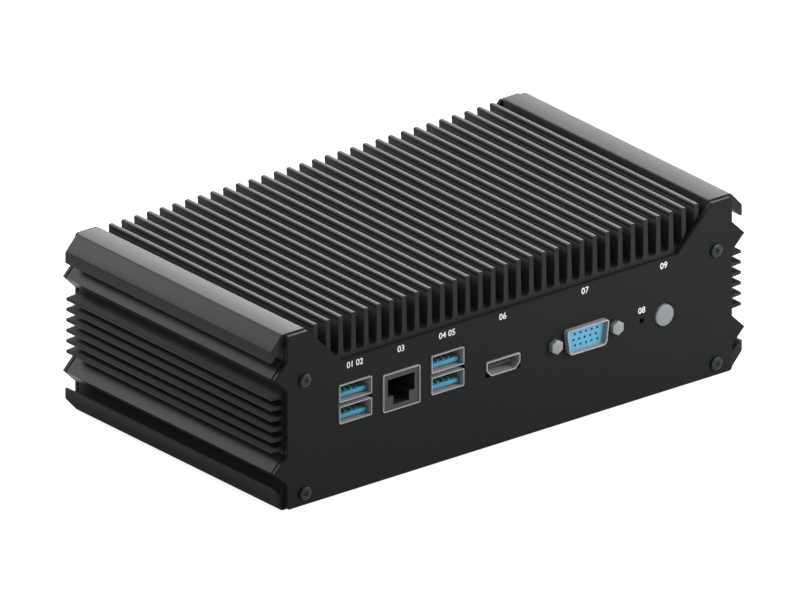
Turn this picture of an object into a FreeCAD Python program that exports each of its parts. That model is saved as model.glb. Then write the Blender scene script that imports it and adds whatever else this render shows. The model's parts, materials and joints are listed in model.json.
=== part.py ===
import FreeCAD, Part
import math
import os
from collections import namedtuple

import Sketcher

# Fanless industrial computer: one finned aluminium extrusion, open below and at both ends, closed by
# two end panels and a bottom cover. The mainboard hangs from the finned roof and carries the sockets.
# X runs across the fins, the front panel faces -Y, Z is up, and the origin is under the middle of the
# flat underside. All lengths are in millimetres.

SIZES = {
    # Extruded chassis, outside
    "chassis_width": 194.0,
    "chassis_height": 61.4,
    "chassis_length": 105.2,
    "edge_slope_width": 4.7,
    "edge_slope_height": 5.2,
    "rail_width": 9.3,
    "lip_face": 3.7,
    "lip_end": 0.8,
    "slot_depth": 5.5,
    "ridge_level": 14.3,
    "side_reach": 5.1,
    # Fins
    "fin_height": 13.4,
    "fin_pitch": 5.22,
    "fin_margin": 4.7,
    "fin_thick": 1.8,
    "fin_tip_cut": 0.45,
    "fin_root_cut": 0.7,
    "side_fin_pitch": 3.65,
    "side_fin_tip": 1.3,
    "side_fin_root": 1.9,
    # Extruded chassis, inside
    "roof_thick": 3.0,
    "wall_thick": 3.0,
    "boss_width": 7.7,
    "boss_height": 4.2,
    "ledge_width": 12.5,
    "ledge_thick": 6.0,
    "cover_thick": 2.0,
    "cover_lap": 10.0,
    "cover_gap": 0.2,
    # End panels and their seals
    "panel_thick": 1.5,
    "panel_inset": 0.45,
    "panel_notch_margin": 1.15,
    "panel_round": 1.2,
    "panel_edge": 0.3,
    "seal_thick": 0.6,
    "seal_inset": 0.6,
    "seal_drop": 0.1,
    "seal_width": 1.0,
    # Screws, one thread size for the housing
    "thread_r": 1.45,
    "thread_gap": 0.05,
    "through_gap": 0.25,
    "head_r": 2.3,
    "head_high": 1.0,
    "hex_flats": 4.6,
    "thread_hold": 2.4,
    "bore_spare": 0.2,
    "end_screw_length": 8.0,
    "end_screw_inset": 4.0,
    "end_screw_lift": 2.8,
    "end_screw_drop": 0.75,
    "cover_screw_inset": 9.0,
    "cover_screw_end": 12.6,
    "cover_screw_length": 5.0,
    "sunk_head_r": 2.75,
    "sunk_head_drop": 0.1,
    # Bolt pattern under the cover
    "bracket_pitch": 75.0,
    "bracket_hole_r": 1.65,
    # Mainboard and what hangs it
    "board_top": 24.0,
    "board_thick": 1.6,
    "board_side_gap": 2.5,
    "board_end_gap": 2.1,
    "spacer_flats": 5.5,
    "spacer_gap": 0.4,
    "spacer_end": 9.6,
    "board_head_high": 1.8,
    # Sockets in general: how far they stand out, their clearance in the panels
    "socket_proud": 0.5,
    "cutout_gap": 0.25,
    "shell_thick": 0.35,
    # Where the sockets stand, as shares of the housing's half width
    "left_stack_share": -0.6574,
    "console_share": -0.4619,
    "right_stack_share": -0.2667,
    "video_share": -0.031,
    "dsub_share": 0.3175,
    "reset_share": 0.5577,
    "button_share": 0.651,
    "network_share": -0.6392,
    "network_step_share": 0.1907,
    "inlet_share": 0.6392,
    # Stacked ports
    "mouth_width": 12.7,
    "mouth_height": 5.4,
    "mouth_level": 4.0,
    "stack_pitch": 7.5,
    "stack_step": 2.7,
    "stack_depth": 18.0,
    "stack_root": 12.0,
    "tongue_width": 11.4,
    "tongue_thick": 1.55,
    "tongue_level": 0.6,
    "tongue_recess": 1.8,
    "strip_width": 1.0,
    "strip_thick": 0.15,
    "strip_pitch": 2.3,
    "strip_length": 8.0,
    "strip_recess": 1.0,
    # Console and network jacks
    "jack_width": 15.2,
    "jack_height": 13.2,
    "jack_depth": 16.0,
    "jack_recess": 0.4,
    "plug_width": 11.0,
    "plug_height": 5.9,
    "plug_level": 5.1,
    "plug_depth": 12.0,
    "latch_width": 6.6,
    "latch_height": 3.2,
    "contact_pitch": 1.02,
    "contact_width": 0.5,
    "contact_thick": 0.35,
    "contact_dip": 1.2,
    "contact_start": 2.0,
    "contact_length": 8.0,
    # Video port
    "video_top_width": 13.8,
    "video_bottom_width": 10.0,
    "video_height": 5.2,
    "video_corner": 2.2,
    "video_level": 1.1,
    "video_wall": 0.4,
    "video_depth": 11.5,
    "video_root": 8.0,
    "video_tongue_width": 9.2,
    "video_tongue_thick": 0.8,
    "video_tongue_recess": 2.0,
    "video_tongue_drop": 2.0,
    # D-shaped monitor socket
    "dsub_level": 4.55,
    "dsub_top_width": 17.55,
    "dsub_bottom_width": 15.15,
    "dsub_height": 8.7,
    "dsub_round": 1.2,
    "dsub_wall": 0.5,
    "dsub_proud": 1.85,
    "dsub_recess": 1.65,
    "dsub_pin_wide": 0.85,
    "dsub_pin_pitch": 2.29,
    "dsub_row_pitch": 1.98,
    "dsub_row_shift": 0.57,
    "dsub_pin_depth": 5.0,
    "flange_margin": 2.9,
    "flange_height": 12.5,
    "flange_thick": 0.9,
    "dsub_block_width": 19.0,
    "dsub_block_depth": 9.0,
    "jackscrew_pitch": 24.99,
    "jackscrew_flats": 4.4,
    "jackscrew_proud": 1.7,
    "jackscrew_r": 1.4,
    "jackscrew_length": 6.0,
    # Power button and its switch
    "button_level": 3.4,
    "button_r": 3.7,
    "button_proud": 0.7,
    "button_gap": 0.4,
    "button_bevel": 0.4,
    "button_flange_r": 5.2,
    "button_flange_thick": 0.8,
    "button_stem_wide": 3.6,
    "button_stem_end": 6.4,
    "button_travel": 0.5,
    "switch_width": 7.0,
    "switch_height": 7.4,
    "switch_start": 7.6,
    "switch_depth": 6.5,
    "plunger_wide": 3.0,
    "plunger_gap": 0.2,
    "plunger_hold": 2.5,
    # Reset switch behind its pin hole
    "reset_level": 3.7,
    "reset_hole_r": 0.9,
    "reset_width": 6.0,
    "reset_height": 6.6,
    "reset_start": 5.2,
    "reset_depth": 3.6,
    "reset_plunger_r": 1.4,
    "reset_plunger_out": 1.6,
    "reset_plunger_in": 1.5,
    "reset_travel": 0.25,
    # Supply inlet
    "inlet_width": 9.0,
    "inlet_height": 11.0,
    "inlet_depth": 14.0,
    "inlet_bore_r": 3.2,
    "inlet_bore_level": 6.5,
    "inlet_bore_depth": 10.0,
    "inlet_pin_r": 1.05,
    "inlet_pin_recess": 1.5,
    # Processor and its thermal block
    "processor_x": 10.0,
    "processor_y": 2.0,
    "package_wide": 28.0,
    "package_thick": 1.3,
    "die_length": 15.0,
    "die_width": 11.0,
    "die_thick": 0.6,
    "pad_thick": 0.3,
    "block_length": 50.0,
    "block_width": 44.0,
    "block_screw_x": 20.0,
    "block_screw_y": 17.0,
    "block_foot": 30.0,
    "block_step": 3.0,
    "block_head_high": 2.4,
    # Memory module, under the board
    "memory_x": -28.0,
    "memory_y": 4.0,
    "module_length": 69.6,
    "module_width": 30.0,
    "module_thick": 1.2,
    "module_drop": 2.6,
    "module_entry": 2.5,
    "memory_socket_width": 6.6,
    "memory_socket_high": 5.2,
    "memory_arm": 2.6,
    "memory_arm_length": 26.0,
    "chip_length": 11.0,
    "chip_width": 8.0,
    "chip_thick": 0.9,
    "chip_pitch": 16.5,
    # Storage module, under the board
    "storage_x": 45.0,
    "storage_y": 14.0,
    "card_width": 22.0,
    "card_length": 42.0,
    "card_thick": 0.8,
    "card_drop": 2.4,
    "card_entry": 2.0,
    "card_screw_inset": 2.0,
    "storage_socket_width": 8.0,
    "storage_socket_high": 4.2,
    "card_post_flats": 4.4,
    "card_screw_r": 1.0,
    "card_head_flats": 3.6,
    "card_head_high": 0.9,
    "package_length": 16.0,
    "package_width": 13.0,
    # Clock cell
    "cell_share": -0.5155,
    "cell_y": 4.0,
    "cell_r": 10.0,
    "cell_thick": 3.2,
    "holder_floor": 1.2,
    "holder_wall": 1.5,
    "holder_gap": 0.2,
    "holder_high": 3.4,
    # Coils of the supply
    "coil_wide": 7.0,
    "coil_high": 4.5,
    "coil_share": 0.5361,
    "coil_y": -18.0,
    "coil_pitch": 10.0,
    "coil_count": 4.0,
}

Circle = namedtuple("Circle", "x y radius")

doc = FreeCAD.newDocument("fanless_computer")
sheet = doc.addObject("Spreadsheet::Sheet", "Sizes")
pieces = []


class Size:
    """A length that carries both its number and the sheet expression that gives it."""

    def __init__(self, value, text=None):
        self.value = float(value)
        self.text = text or repr(float(value))

    def joined(self, sign, other, value):
        return Size(value, f"({self.text} {sign} {other.text})")

    def __add__(self, other):
        other = as_size(other)
        return self.joined("+", other, self.value + other.value)

    def __sub__(self, other):
        other = as_size(other)
        return self.joined("-", other, self.value - other.value)

    def __mul__(self, other):
        other = as_size(other)
        return self.joined("*", other, self.value * other.value)

    def __truediv__(self, other):
        other = as_size(other)
        return self.joined("/", other, self.value / other.value)

    def __neg__(self):
        return Size(-self.value, f"(0 - {self.text})")

    def whole(self):
        return Size(math.floor(self.value), f"floor({self.text})")


def as_size(number):
    return number if isinstance(number, Size) else Size(number)


def slant_length(a, b):
    """Length of the slanted side over two square ones."""
    return Size(math.hypot(a.value, b.value), f"sqrt({a.text} * {a.text} + {b.text} * {b.text})")


class Sheet:
    """Gives each sheet cell as a Size, by its alias."""

    def __init__(self, table):
        for row, (alias, number) in enumerate(table.items(), start=1):
            sheet.set(f"A{row}", alias)
            sheet.set(f"B{row}", str(number))
            sheet.setAlias(f"B{row}", alias)
        doc.recompute()
        self.table = table

    def __getattr__(self, alias):
        return Size(self.table[alias], f"Sizes.{alias}")


S = Sheet(SIZES)
ZERO = Size(0.0)

# Levels and half widths that several pieces share
HALF = S.chassis_width / 2
LEFT_STACK_X = HALF * S.left_stack_share
CONSOLE_X = HALF * S.console_share
RIGHT_STACK_X = HALF * S.right_stack_share
VIDEO_X = HALF * S.video_share
DSUB_X = HALF * S.dsub_share
RESET_X = HALF * S.reset_share
BUTTON_X = HALF * S.button_share
INLET_X = HALF * S.inlet_share
ROOT = HALF - S.slot_depth
RIDGE = ROOT + S.side_reach
RAIL = HALF - S.edge_slope_width - S.rail_width
FIN_FLOOR = S.chassis_height - S.fin_height
ROOF = FIN_FLOOR - S.roof_thick
INNER = ROOT - S.wall_thick
COVER_HALF = INNER - S.ledge_width + S.cover_lap
HALF_LENGTH = S.chassis_length / 2
FACE = HALF_LENGTH + S.seal_thick + S.panel_thick
BOARD_FLOOR = S.board_top - S.board_thick
BORE_R = S.thread_r + S.thread_gap
THROUGH_R = S.thread_r + S.through_gap
END_SCREW_X = INNER - S.end_screw_inset
END_SCREW_LEVELS = (S.cover_thick + S.end_screw_lift, ROOF - S.end_screw_drop)
COVER_SCREW = (INNER - S.cover_screw_inset, HALF_LENGTH - S.cover_screw_end)
SPACER = (INNER - S.boss_width - S.spacer_flats / 2 - S.spacer_gap, HALF_LENGTH - S.spacer_end)
HALF_STEP = Size(0.5)
TWO = Size(2)
FRONT, REAR = -1, 1
NETWORK_JACKS = 4
JACK_WIRES = 8
STACK_STRIPS = 5
MEMORY_CHIPS = 4


# ---------------------------------------------------------------- drawing


def bind(target, prop, size):
    target.setExpression(prop, size.text)


def bind_point(sketch, geometry, position, x, y):
    for kind, size in (("DistanceX", x), ("DistanceY", y)):
        index = sketch.addConstraint(Sketcher.Constraint(kind, -1, 1, geometry, position, size.value))
        bind(sketch, f"Constraints[{index}]", size)


def draw_circle(sketch, circle):
    centre = FreeCAD.Vector(circle.x.value, circle.y.value, 0)
    geometry = sketch.addGeometry(Part.Circle(centre, FreeCAD.Vector(0, 0, 1), circle.radius.value), False)
    bind_point(sketch, geometry, 3, circle.x, circle.y)
    index = sketch.addConstraint(Sketcher.Constraint("Radius", geometry, circle.radius.value))
    bind(sketch, f"Constraints[{index}]", circle.radius)


def draw_corner_arc(sketch, point, trims, line_in, line_out, corner):
    """Join two lines with an arc tangent to both, held by the sharp corner and a radius."""
    radius = corner[2].value
    start, end = trims
    middle = (start + end) / 2
    away = (middle - point).normalize()
    centre = point + away * math.hypot((start - point).Length, radius)
    turn = (start - centre).cross(end - centre).z
    first, last = (start, end) if turn > 0 else (end, start)
    angles = [math.atan2(p.y - centre.y, p.x - centre.x) for p in (first, last)]
    circle = Part.Circle(centre, FreeCAD.Vector(0, 0, 1), radius)
    arc = sketch.addGeometry(Part.ArcOfCircle(circle, angles[0], angles[1]), False)
    into, out_of = (1, 2) if turn > 0 else (2, 1)
    sketch.addConstraint(Sketcher.Constraint("Tangent", line_in, 2, arc, into))
    sketch.addConstraint(Sketcher.Constraint("Tangent", arc, out_of, line_out, 1))
    sharp = sketch.addGeometry(Part.Point(point), True)
    bind_point(sketch, sharp, 1, corner[0], corner[1])
    sketch.addConstraint(Sketcher.Constraint("PointOnObject", sharp, 1, line_in))
    sketch.addConstraint(Sketcher.Constraint("PointOnObject", sharp, 1, line_out))
    index = sketch.addConstraint(Sketcher.Constraint("Radius", arc, radius))
    bind(sketch, f"Constraints[{index}]", corner[2])


def draw_outline(sketch, corners):
    """Draw one closed outline; a corner is (x, y), or (x, y, radius) where it is rounded."""
    points = [FreeCAD.Vector(corner[0].value, corner[1].value, 0) for corner in corners]
    count = len(corners)
    trims = []
    for i, corner in enumerate(corners):
        back = (points[i - 1] - points[i]).normalize()
        ahead = (points[(i + 1) % count] - points[i]).normalize()
        radius = corner[2].value if len(corner) == 3 else 0.0
        cut = radius / math.tan(back.getAngle(ahead) / 2)
        trims.append((points[i] + back * cut, points[i] + ahead * cut))
    lines = []
    for i in range(count):
        segment = Part.LineSegment(trims[i][1], trims[(i + 1) % count][0])
        lines.append(sketch.addGeometry(segment, False))
    for i, corner in enumerate(corners):
        if len(corner) == 3:
            draw_corner_arc(sketch, points[i], trims[i], lines[i - 1], lines[i], corner)
        else:
            sketch.addConstraint(Sketcher.Constraint("Coincident", lines[i - 1], 2, lines[i], 1))
            bind_point(sketch, lines[i], 1, corner[0], corner[1])


def make_sketch(body, name, plane, offset, drawings):
    sketch = body.newObject("Sketcher::SketchObject", name)
    support = next(item for item in body.Origin.OriginFeatures if item.Role == plane)
    sketch.AttachmentSupport = [(support, "")]
    sketch.MapMode = "FlatFace"
    bind(sketch, "AttachmentOffset.Base.z", offset)
    for drawing in drawings:
        if isinstance(drawing, Circle):
            draw_circle(sketch, drawing)
        else:
            draw_outline(sketch, drawing)
    return sketch


def extrude(body, kind, name, plane, low, high, drawings):
    """Pad or pocket the drawings between two levels along the plane's axis."""
    upward = plane != "XZ_Plane"
    start = low if upward == (kind == "Pad") else high
    offset = start if upward else -start
    sketch = make_sketch(body, name + "_sketch", plane, offset, drawings)
    feature = body.newObject("PartDesign::" + kind, name)
    feature.Profile = sketch
    bind(feature, "Length", high - low)
    sketch.Visibility = False
    body.Tip = feature
    return feature


def pad(body, name, plane, low, high, *drawings):
    return extrude(body, "Pad", name, plane, low, high, drawings)


def pocket(body, name, plane, low, high, *drawings):
    doc.recompute()
    before = body.Shape.Volume
    feature = extrude(body, "Pocket", name, plane, low, high, drawings)
    doc.recompute()
    if not body.Shape.Volume < before - 1e-6:
        raise RuntimeError(f"{body.Label}: {name} cuts nothing")
    return feature


def turn(body, name, plane, offset, axis, profile, kind="Revolution"):
    """Revolve a profile, or cut its groove, about the sketch line between the two axis points."""
    sketch = make_sketch(body, name + "_sketch", plane, offset, [profile])
    ends = [FreeCAD.Vector(x.value, y.value, 0) for x, y in axis]
    line = sketch.addGeometry(Part.LineSegment(*ends), True)
    bind_point(sketch, line, 1, *axis[0])
    bind_point(sketch, line, 2, *axis[1])
    feature = body.newObject("PartDesign::" + kind, name)
    feature.Profile = sketch
    feature.ReferenceAxis = (sketch, ["Axis0"])
    feature.Angle = 360.0
    sketch.Visibility = False
    body.Tip = feature
    return feature


def origin_item(body, role):
    return (next(item for item in body.Origin.OriginFeatures if item.Role == role), [""])


def pattern_step(body, name, role, span, count):
    step = body.newObject("PartDesign::LinearPattern", name)
    step.Direction = origin_item(body, role)
    bind(step, "Length", span)
    bind(step, "Occurrences", count)
    return step


def repeat(body, name, originals, role, span, count):
    """Copy features along one axis of the body, over a total span."""
    step = pattern_step(body, name, role, span, count)
    step.Originals = originals
    body.Tip = step
    return step


def repeat_grid(body, name, originals, *directions):
    """Copy features along two axes; each direction is (axis role, total span, count)."""
    grid = body.newObject("PartDesign::MultiTransform", name)
    grid.Originals = originals
    steps = []
    for i, (role, span, count) in enumerate(directions):
        steps.append(pattern_step(body, f"{name}_{i}", role, span, count))
    grid.Transformations = steps
    body.Tip = grid
    return grid


def new_body(label, loose=False):
    """Start a piece; a loose one is a group of separate, equal solids."""
    body = doc.addObject("PartDesign::Body", label)
    body.Label = label
    body.AllowCompound = loose
    pieces.append(body)
    return body


def rectangle(x_low, x_high, y_low, y_high, radius=None):
    corners = [(x_low, y_low), (x_high, y_low), (x_high, y_high), (x_low, y_high)]
    return [corner + (radius,) for corner in corners] if radius else corners


def centred(x, width, low, high, radius=None):
    """Rectangle centred on x between two levels."""
    return rectangle(x - width / 2, x + width / 2, low, high, radius)


def mirrored(right):
    """Close an outline from its right half, which runs from one end of the middle line to the other."""
    left = [(-corner[0],) + tuple(corner[1:]) for corner in reversed(right)]
    return list(right) + left


def moved(corners, x, y):
    return [(corner[0] + x, corner[1] + y) + tuple(corner[2:]) for corner in corners]


def hexagon(x, y, flats):
    """Hexagon with two of its corners straight above and below its centre."""
    reach = flats / math.sqrt(3)
    near = [(ZERO, reach), (flats / 2, reach / 2), (flats / 2, -reach / 2)]
    return moved(near + [(-a, -b) for a, b in near], x, y)


def octagon(x, y, radius):
    """Eight-sided stand-in for a circle of that radius, for what repeats: screws and their holes."""
    near = radius * math.tan(math.pi / 8)
    quarter = [(radius, near), (near, radius)]
    half = quarter + [(-a, b) for a, b in reversed(quarter)]
    return moved(half + [(-a, -b) for a, b in half], x, y)


def four(x, y, radius, shape=octagon):
    """One outline at each pairing of plus and minus x and y."""
    return [shape(x * i, y * j, radius) for i in (-1, 1) for j in (-1, 1)]


def four_ways(x, y):
    """Directions for a two by two grid that starts at minus x and minus y."""
    return (("X_Axis", x * 2, TWO), ("Y_Axis", y * 2, TWO))


def inward(side, near, far):
    """Low and high Y of a stretch measured inwards from the outer face of one end panel."""
    if side == FRONT:
        return (-FACE + near, -FACE + far)
    return (FACE - far, FACE - near)


def block(name, x, y, z):
    """Box between three pairs of limits."""
    box = doc.addObject("Part::Box", name)
    for length, axis, (low, high) in zip(("Length", "Width", "Height"), "xyz", (x, y, z)):
        bind(box, length, high - low)
        bind(box, f"Placement.Base.{axis}", low)
    return box


def about(middle, width):
    return (middle - width / 2, middle + width / 2)


def combine(kind, label, shapes):
    """Fuse, cut or bundle named shapes into one piece."""
    piece = doc.addObject("Part::" + kind, label)
    if kind == "Cut":
        piece.Base, piece.Tool = shapes
    elif kind == "MultiFuse":
        piece.Shapes = shapes
        piece.Refine = True
    else:
        piece.Links = shapes
    piece.Label = label
    pieces.append(piece)
    return piece


# ---------------------------------------------------------------- housing


def lip_and_ridge(level, toward_middle):
    """Outer corners of one long edge: slope, hooked lip, slanted slot and vee ridge."""
    drop = S.edge_slope_height + S.lip_face
    hook = S.slot_depth - S.lip_end
    return [
        (HALF - S.edge_slope_width, level),
        (HALF, level + S.edge_slope_height * toward_middle),
        (HALF, level + drop * toward_middle),
        (HALF - S.lip_end, level + drop * toward_middle),
        (ROOT, level + (drop - hook) * toward_middle),
        *ridge(level, toward_middle),
    ]


def ridge(level, toward_middle):
    return [
        (ROOT, level + (S.ridge_level - S.side_reach) * toward_middle),
        (RIDGE, level + S.ridge_level * toward_middle),
        (ROOT, level + (S.ridge_level + S.side_reach) * toward_middle),
    ]


def bay_corners():
    """Right half of the hollow, from the cover ledge up to the roof, with the upper screw boss."""
    return [
        (INNER - S.ledge_width, S.cover_thick),
        (INNER - S.ledge_width, S.cover_thick + S.ledge_thick),
        (INNER, S.cover_thick + S.ledge_thick),
        (INNER, ROOF - S.boss_height),
        (INNER - S.boss_width, ROOF - S.boss_height),
        (INNER - S.boss_width, ROOF),
    ]


def end_screw_holes(radius):
    return [octagon(END_SCREW_X * i, z, radius) for i in (-1, 1) for z in END_SCREW_LEVELS]


def fin_corners():
    """Right half of one fin, standing on a foot that widens into the roof."""
    foot = S.fin_thick / 2 + S.fin_root_cut
    return [
        (foot, FIN_FLOOR - S.roof_thick / 2),
        (foot, FIN_FLOOR),
        (S.fin_thick / 2, FIN_FLOOR + S.fin_root_cut),
        (S.fin_thick / 2, S.chassis_height - S.fin_tip_cut),
        (S.fin_thick / 2 - S.fin_tip_cut, S.chassis_height),
    ]


def side_fin_corners(level):
    """One side fin, tapering outwards from the middle of the right wall."""
    sunk = ROOT - S.wall_thick / 2
    return [
        (sunk, level - S.side_fin_root / 2),
        (ROOT, level - S.side_fin_root / 2),
        (RIDGE, level - S.side_fin_tip / 2),
        (RIDGE, level + S.side_fin_tip / 2),
        (ROOT, level + S.side_fin_root / 2),
        (sunk, level + S.side_fin_root / 2),
    ]


def make_chassis():
    body = new_body("chassis_extrusion")
    right = [
        (RAIL - S.fin_root_cut, FIN_FLOOR),
        (RAIL, FIN_FLOOR + S.fin_root_cut),
        (RAIL, S.chassis_height),
        *lip_and_ridge(S.chassis_height, -1),
        *reversed(lip_and_ridge(ZERO, 1)),
        (COVER_HALF, ZERO),
        (COVER_HALF, S.cover_thick),
        *bay_corners(),
    ]
    pad(body, "section", "XZ_Plane", -HALF_LENGTH, HALF_LENGTH, mirrored(right))

    span = (RAIL - S.fin_margin) * 2
    gaps = (span / S.fin_pitch + HALF_STEP).whole()
    first = pad(
        body, "fin", "XZ_Plane", -HALF_LENGTH, HALF_LENGTH, moved(mirrored(fin_corners()), -span / 2, ZERO),
    )
    repeat(body, "fins", [first], "X_Axis", span, gaps + 1)

    room = S.chassis_height - (S.ridge_level + S.side_reach) * 2
    side_count = (room / S.side_fin_pitch).whole()
    climb = (side_count - 1) * S.side_fin_pitch
    right_fin = side_fin_corners((S.chassis_height - climb) / 2)
    left_fin = [(-x, z) for x, z in right_fin]
    pair = pad(body, "side_fin", "XZ_Plane", -HALF_LENGTH, HALF_LENGTH, right_fin, left_fin)
    repeat(body, "side_fins", [pair], "Z_Axis", climb, side_count)

    pocket(body, "end_bores", "XZ_Plane", -HALF_LENGTH, HALF_LENGTH, *end_screw_holes(BORE_R))
    depth = S.cover_screw_length + S.bore_spare
    pocket(body, "cover_bores", "XY_Plane", S.cover_thick, depth, *four(*COVER_SCREW, BORE_R))
    pocket(
        body, "roof_bores", "XY_Plane", ROOF, ROOF + S.thread_hold + S.bore_spare,
        *four(*SPACER, BORE_R), *block_screw_holes(BORE_R),
    )


def make_cover():
    """Cover plate with countersunk screw holes and the bracket's bolt pattern."""
    body = new_body("bottom_cover")
    edge = COVER_HALF - S.cover_gap
    pitch = S.bracket_pitch / 2
    pad(
        body, "plate", "XY_Plane", ZERO, S.cover_thick,
        rectangle(-edge, edge, -HALF_LENGTH, HALF_LENGTH),
        *four(*COVER_SCREW, THROUGH_R), *four(pitch, pitch, S.bracket_hole_r, Circle),
    )
    x, y = COVER_SCREW
    wide = S.sunk_head_r + S.sunk_head_drop
    cone = [(-x, ZERO), (-x + wide, ZERO), (-x, wide)]
    sink = turn(body, "sink", "XZ_Plane", y, [(-x, ZERO), (-x, wide)], cone, "Groove")
    repeat_grid(body, "sinks", [sink], *four_ways(x, y))


def panel_corners():
    """Right half of an end panel: vee tabs over the ridges and a sloped ear beside the fins."""
    top = S.chassis_height - S.panel_inset
    notch = FIN_FLOOR - S.panel_notch_margin
    return [
        (ROOT, S.panel_inset, S.panel_round),
        *ridge(ZERO, 1),
        *reversed(ridge(S.chassis_height, -1)),
        (ROOT, top, S.panel_round),
        (RAIL, top),
        (RAIL - (top - notch), notch),
    ]


def make_panel(label, side, cutouts):
    body = new_body(label)
    low, high = inward(side, ZERO, S.panel_thick)
    plate = pad(
        body, "plate", "XZ_Plane", low, high,
        mirrored(panel_corners()), *end_screw_holes(THROUGH_R), *cutouts,
    )
    doc.recompute()
    outer = (low if side == FRONT else high).value
    face = max(
        (f for f in plate.Shape.Faces if abs(f.CenterOfMass.y - outer) < 1e-6),
        key=lambda f: f.Area,
    )
    rim = face.OuterWire.Edges
    names = [f"Edge{i}" for i, e in enumerate(plate.Shape.Edges, start=1) if any(e.isSame(r) for r in rim)]
    edge = body.newObject("PartDesign::Chamfer", "edge")
    edge.Base = (plate, names)
    bind(edge, "Size", S.panel_edge)
    body.Tip = edge


def make_seal(label, side):
    """Flat ring round the hollow, outside the end screws."""
    body = new_body(label)
    low, high = inward(side, S.panel_thick, S.panel_thick + S.seal_thick)
    edge = ROOT - S.seal_inset
    bottom = S.panel_inset + S.seal_inset
    top = FIN_FLOOR - S.panel_notch_margin - S.seal_drop
    width = S.seal_width
    pad(
        body, "ring", "XZ_Plane", low, high,
        rectangle(-edge, edge, bottom, top),
        rectangle(width - edge, edge - width, bottom + width, top - width),
    )


def make_end_screws(label, side):
    body = new_body(label, loose=True)
    low, high = END_SCREW_LEVELS
    y = inward(side, -S.head_high, ZERO)
    head = pad(body, "head", "XZ_Plane", y[0], y[1], Circle(-END_SCREW_X, low, S.head_r))
    y = inward(side, ZERO, S.end_screw_length)
    shank = pad(body, "shank", "XZ_Plane", y[0], y[1], octagon(-END_SCREW_X, low, S.thread_r))
    repeat_grid(
        body, "screws", [head, shank], ("X_Axis", END_SCREW_X * 2, TWO), ("Z_Axis", high - low, TWO),
    )


def make_upright_screws(label, centre, spread, seat, high, flats, tip):
    """Four hexagon-head screws about a centre, pointing up from their seat to their tip."""
    body = new_body(label, loose=True)
    x, y = (middle - reach for middle, reach in zip(centre, spread))
    head = pad(body, "head", "XY_Plane", seat - high, seat, hexagon(x, y, flats))
    shank = pad(body, "shank", "XY_Plane", seat, tip, octagon(x, y, S.thread_r))
    repeat_grid(body, "screws", [head, shank], *four_ways(*spread))


def make_cover_screws():
    """Four countersunk screws, their flats just inside the cover."""
    body = new_body("bottom_cover_screws", loose=True)
    x, y = COVER_SCREW
    top = S.sunk_head_drop
    neck = top + S.sunk_head_r - S.thread_r
    cone = [(-x, top), (S.sunk_head_r - x, top), (S.thread_r - x, neck), (-x, neck)]
    head = turn(body, "head", "XZ_Plane", y, (cone[0], cone[-1]), cone)
    shank = pad(body, "shank", "XY_Plane", neck, top + S.cover_screw_length, octagon(-x, -y, S.thread_r))
    repeat_grid(body, "screws", [head, shank], *four_ways(x, y))


def make_housing():
    make_chassis()
    make_cover()
    make_panel("front_panel", FRONT, front_cutouts())
    make_panel("rear_panel", REAR, rear_cutouts())
    make_seal("front_seal", FRONT)
    make_seal("rear_seal", REAR)
    make_end_screws("front_panel_screws", FRONT)
    make_end_screws("rear_panel_screws", REAR)
    make_cover_screws()


# ---------------------------------------------------------------- sockets


def mouth_levels():
    low = S.board_top + S.mouth_level
    return [low, low + S.stack_pitch]


def mouths(x, grow):
    half = S.mouth_height / 2 + grow
    return [centred(x, S.mouth_width + grow * 2, level - half, level + half) for level in mouth_levels()]


def stack_cutout(x):
    low, high = mouth_levels()
    grow = S.shell_thick + S.cutout_gap
    half = S.mouth_height / 2 + grow
    return centred(x, S.mouth_width + grow * 2, low - half, high + half)


def make_stacked_port(name, x):
    """Two sockets, one above the other: folded shell, moulded insert with two tongues, contact strips."""
    low, high = mouth_levels()
    half = S.mouth_height / 2
    shell = new_body(name + "_shell")
    y = inward(FRONT, S.stack_step - S.socket_proud, S.stack_depth)
    top = high + half + S.shell_thick
    width = S.mouth_width + S.shell_thick * 2
    pad(shell, "case", "XZ_Plane", y[0], y[1], centred(x, width, S.board_top, top))
    y = inward(FRONT, -S.socket_proud, S.stack_step)
    pad(shell, "mouths", "XZ_Plane", y[0], y[1], *mouths(x, S.shell_thick))
    y = inward(FRONT, -S.socket_proud, S.stack_root)
    pocket(shell, "openings", "XZ_Plane", y[0], y[1], *mouths(x, ZERO))
    y = inward(FRONT, S.stack_root, S.stack_depth - S.shell_thick)
    pocket(shell, "back_room", "XZ_Plane", y[0], y[1], centred(x, S.mouth_width, low - half, high + half))

    insert = new_body(name + "_insert")
    pad(insert, "root", "XZ_Plane", y[0], y[1], centred(x, S.mouth_width, low - half, high + half))
    floors = [level - half + S.tongue_level for level in (low, high)]
    tongues = [centred(x, S.tongue_width, floor, floor + S.tongue_thick) for floor in floors]
    y = inward(FRONT, S.tongue_recess - S.socket_proud, S.stack_root)
    pad(insert, "tongues", "XZ_Plane", y[0], y[1], *tongues)

    strips = new_body(name + "_contacts", loose=True)
    start = S.tongue_recess - S.socket_proud + S.strip_recess
    y = inward(FRONT, start, start + S.strip_length)
    span = S.strip_pitch * (STACK_STRIPS - 1)
    rests = [floor + S.tongue_thick for floor in floors]
    pair = [centred(x - span / 2, S.strip_width, rest, rest + S.strip_thick) for rest in rests]
    strip = pad(strips, "strip", "XZ_Plane", y[0], y[1], *pair)
    repeat(strips, "strips", [strip], "X_Axis", span, Size(STACK_STRIPS))


def jack_cutout(x):
    return centred(
        x, S.jack_width + S.cutout_gap * 2,
        S.board_top - S.cutout_gap, S.board_top + S.jack_height + S.cutout_gap,
    )


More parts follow.
